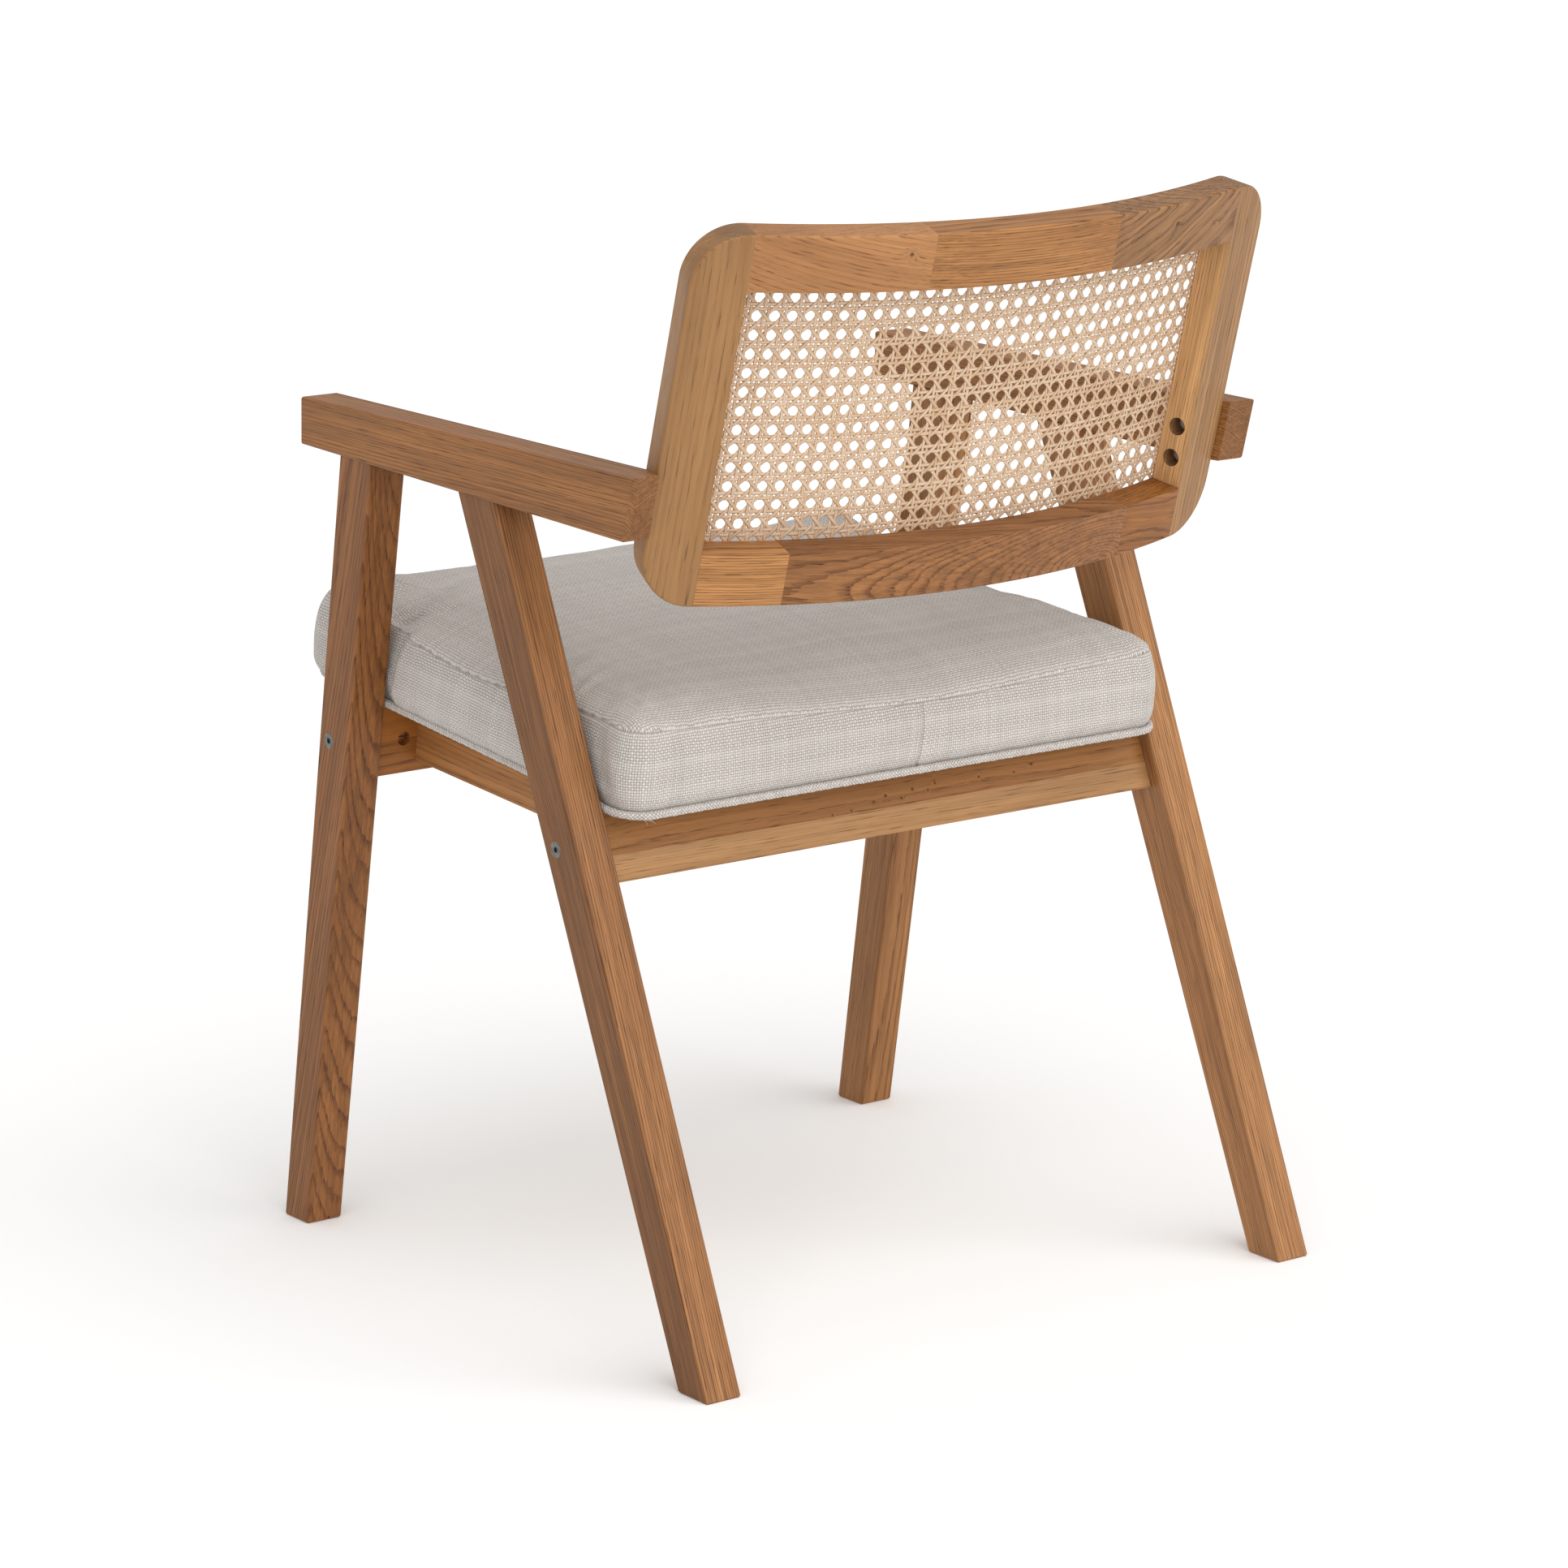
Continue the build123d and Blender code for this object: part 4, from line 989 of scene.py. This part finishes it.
def thread_material(name, colour):
    """Twisted sewing thread."""
    graph = Graph(name)
    along, around = graph.uv()
    twist = graph.math("SINE", along * 9000.0 + around * 5200.0)
    fuzz = graph.noise(along * 4000, around * 4000, 1.0, 2.0)
    base = graph.mix(1.0, colour, graph.grey(0.70 + twist * 0.15 + fuzz * 0.35), "MULTIPLY")
    return graph.surface(base, 0.8, twist * 0.5 + fuzz * 0.4, 0.00008, 0.7)


def stitch_row(tubes, path, out, pitch, length, radius):
    """Stitches along a closed line: each dips into the cloth at both ends."""
    steps = np.linalg.norm(np.diff(path, axis=0), axis=1)
    run = np.concatenate([[0.0], np.cumsum(steps)])
    rng = random.Random(7)
    place = 0.0
    arch = np.array((-1.9, 0.0, 0.35, 0.35, 0.0, -1.9)) * radius
    while place + length < run[-1]:
        long = length * rng.uniform(0.9, 1.08)
        at = place + long * np.linspace(0, 1, 6)
        line = np.stack([np.interp(at, run, path[:, k]) for k in range(3)], 1)
        outward = np.stack([np.interp(at, run, out[:, k]) for k in range(3)], 1)
        outward /= np.linalg.norm(outward, axis=1)[:, None]
        along = np.gradient(line, axis=0)
        along /= np.linalg.norm(along, axis=1)[:, None]
        side = np.cross(outward, along)
        tubes.add(line + outward * arch[:, None], side, outward, ellipse(2 * radius, 2 * radius, 6))
        place += pitch * rng.uniform(0.96, 1.04)


def outward_world(nx, ny, rise=0.0):
    c, s = math.cos(SEAT_LEAN), math.sin(SEAT_LEAN)
    out = np.stack([nx, ny * c + rise * s, -ny * s + rise * c], 1)
    return out / np.linalg.norm(out, axis=1)[:, None]


def sew(points, nx, ny, rows):
    """Stitches in the top seam and above the piping, the piping itself, and two loose ends of thread."""
    tubes = Tubes()
    for height, rise, stitch in ((SEAM_HEIGHT, 0.6, TOP_STITCH), (LOW_STITCH_HEIGHT, 0.0, LOW_STITCH)):
        row = int(np.argmin(np.abs(rows[:, 1] - height) + (rows[:, 0] > 0.03)))
        stitch_row(tubes, seat_world(points[row]), outward_world(nx[row], ny[row], rise), *stitch)
    piece = tubes.make("seat_pad_stitching", thread_material("sewing_thread", (0.50, 0.46, 0.425)))
    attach(piece, "root")

    # piping: cloth-wrapped cord round the bottom edge
    base_x, base_y, side_x, side_y = outline(PIPING_PLACE)
    path = seat_world(np.stack([base_x, base_y, np.full(len(base_x), PIPING_PLACE)], 1))
    out = outward_world(side_x, side_y)
    up = np.tile((0, math.sin(SEAT_LEAN), math.cos(SEAT_LEAN)), (len(path), 1))
    run = outline_length()
    bumps = (1 + 0.065 * np.sin(run * 2 * math.pi / 0.0078) + 0.03 * np.sin(run * 2 * math.pi / 0.0173 + 1)
             + 0.02 * np.sin(run * 2 * math.pi / 0.061))
    tubes = Tubes()
    tubes.add(path, up, out, ellipse(*PIPING_SIZE, 14), bumps, closed=True)
    piping = tubes.make("seat_pad_piping", cloth_material("piping_cloth", bias=math.pi / 4))
    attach(piping, "root")
    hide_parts("seat_piping")

    # two loose thread ends at the rear left corner
    tubes = Tubes()
    for bend, length, lift in ((1.2, 0.011, -0.001), (-0.7, 0.007, -0.002)):
        run = np.linspace(0, 1, 10)
        start = np.array((0.2405, 0.1302, 0.0022))
        line = np.stack([start[0] - length * np.sin(1.1 + bend * run) * run, start[1] + 0.4 * length * run,
                         start[2] + lift * run - 0.002 * run * run], 1)
        path = seat_world(line)
        side, outward = np.tile((0, 0, 1.0), (10, 1)), np.tile((0, 1.0, 0), (10, 1))
        tubes.add(path, side, outward, ellipse(THREAD_SIZE, THREAD_SIZE, 6))
    thread = tubes.make("loose_thread", thread_material("loose_thread", (0.62, 0.57, 0.53)))
    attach(thread, "root")


# ---- floor and light
FLOOR_HALF = 40.0
FLOOR_GLOW = 0.10
SKY_STRENGTH = 0.60
SUN_DIRECTION, SUN_STRENGTH, SUN_SPREAD = (0.0, 0.95, 0.87), 2.05, 100


def floor():
    mesh = bpy.data.meshes.new("floor")
    corners = [(x * FLOOR_HALF, y * FLOOR_HALF, 0) for x, y in ((-1, -1), (1, -1), (1, 1), (-1, 1))]
    mesh.from_pydata(corners, [], [(0, 1, 2, 3)])
    graph = Graph("floor_paint")
    place = graph.coordinate("Object")
    x, y = (graph.vector("DOT_PRODUCT", place, axis) for axis in ((1, 0, 0), (0, 1, 0)))
    cloud = graph.noise(x * 0.8, y * 0.8, 0.0, 2.0)
    mesh.materials.append(graph.surface(graph.mix(cloud, (0.93, 0.93, 0.93), (0.95, 0.95, 0.945)), 0.95,
                                        Specular_IOR_Level=0.1))
    shader = graph.nodes["Principled BSDF"]
    shader.inputs["Emission Color"].default_value = (1.0, 1.0, 1.0, 1.0)
    shader.inputs["Emission Strength"].default_value = FLOOR_GLOW
    thing = add_object("floor", mesh)


def softbox(direction, strength, spread):
    """Very soft, even light from far away: direction is towards the light, spread its width in degrees."""
    data = bpy.data.lights.new("softbox", "SUN")
    data.energy = strength
    data.angle = math.radians(spread)
    data.color = (1.0, 0.995, 0.985)
    thing = add_object("softbox", data)
    thing.rotation_euler = (-Vector(direction)).to_track_quat("-Z", "Y").to_euler()


def light():
    world = bpy.data.worlds.new("studio")
    world.use_nodes = True
    background = world.node_tree.nodes["Background"]
    background.inputs["Color"].default_value = (1.0, 1.0, 1.0, 1.0)
    background.inputs["Strength"].default_value = SKY_STRENGTH
    scene.world = world
    scene.view_settings.view_transform = "Standard"
    scene.view_settings.look = "None"
    softbox(SUN_DIRECTION, SUN_STRENGTH, SUN_SPREAD)


camera()
dress_wood()
dress_metal()
cane_weave()
pad_points, pad_nx, pad_ny, profile = seat_pad()
sew(pad_points, pad_nx, pad_ny, profile)
floor()
light()
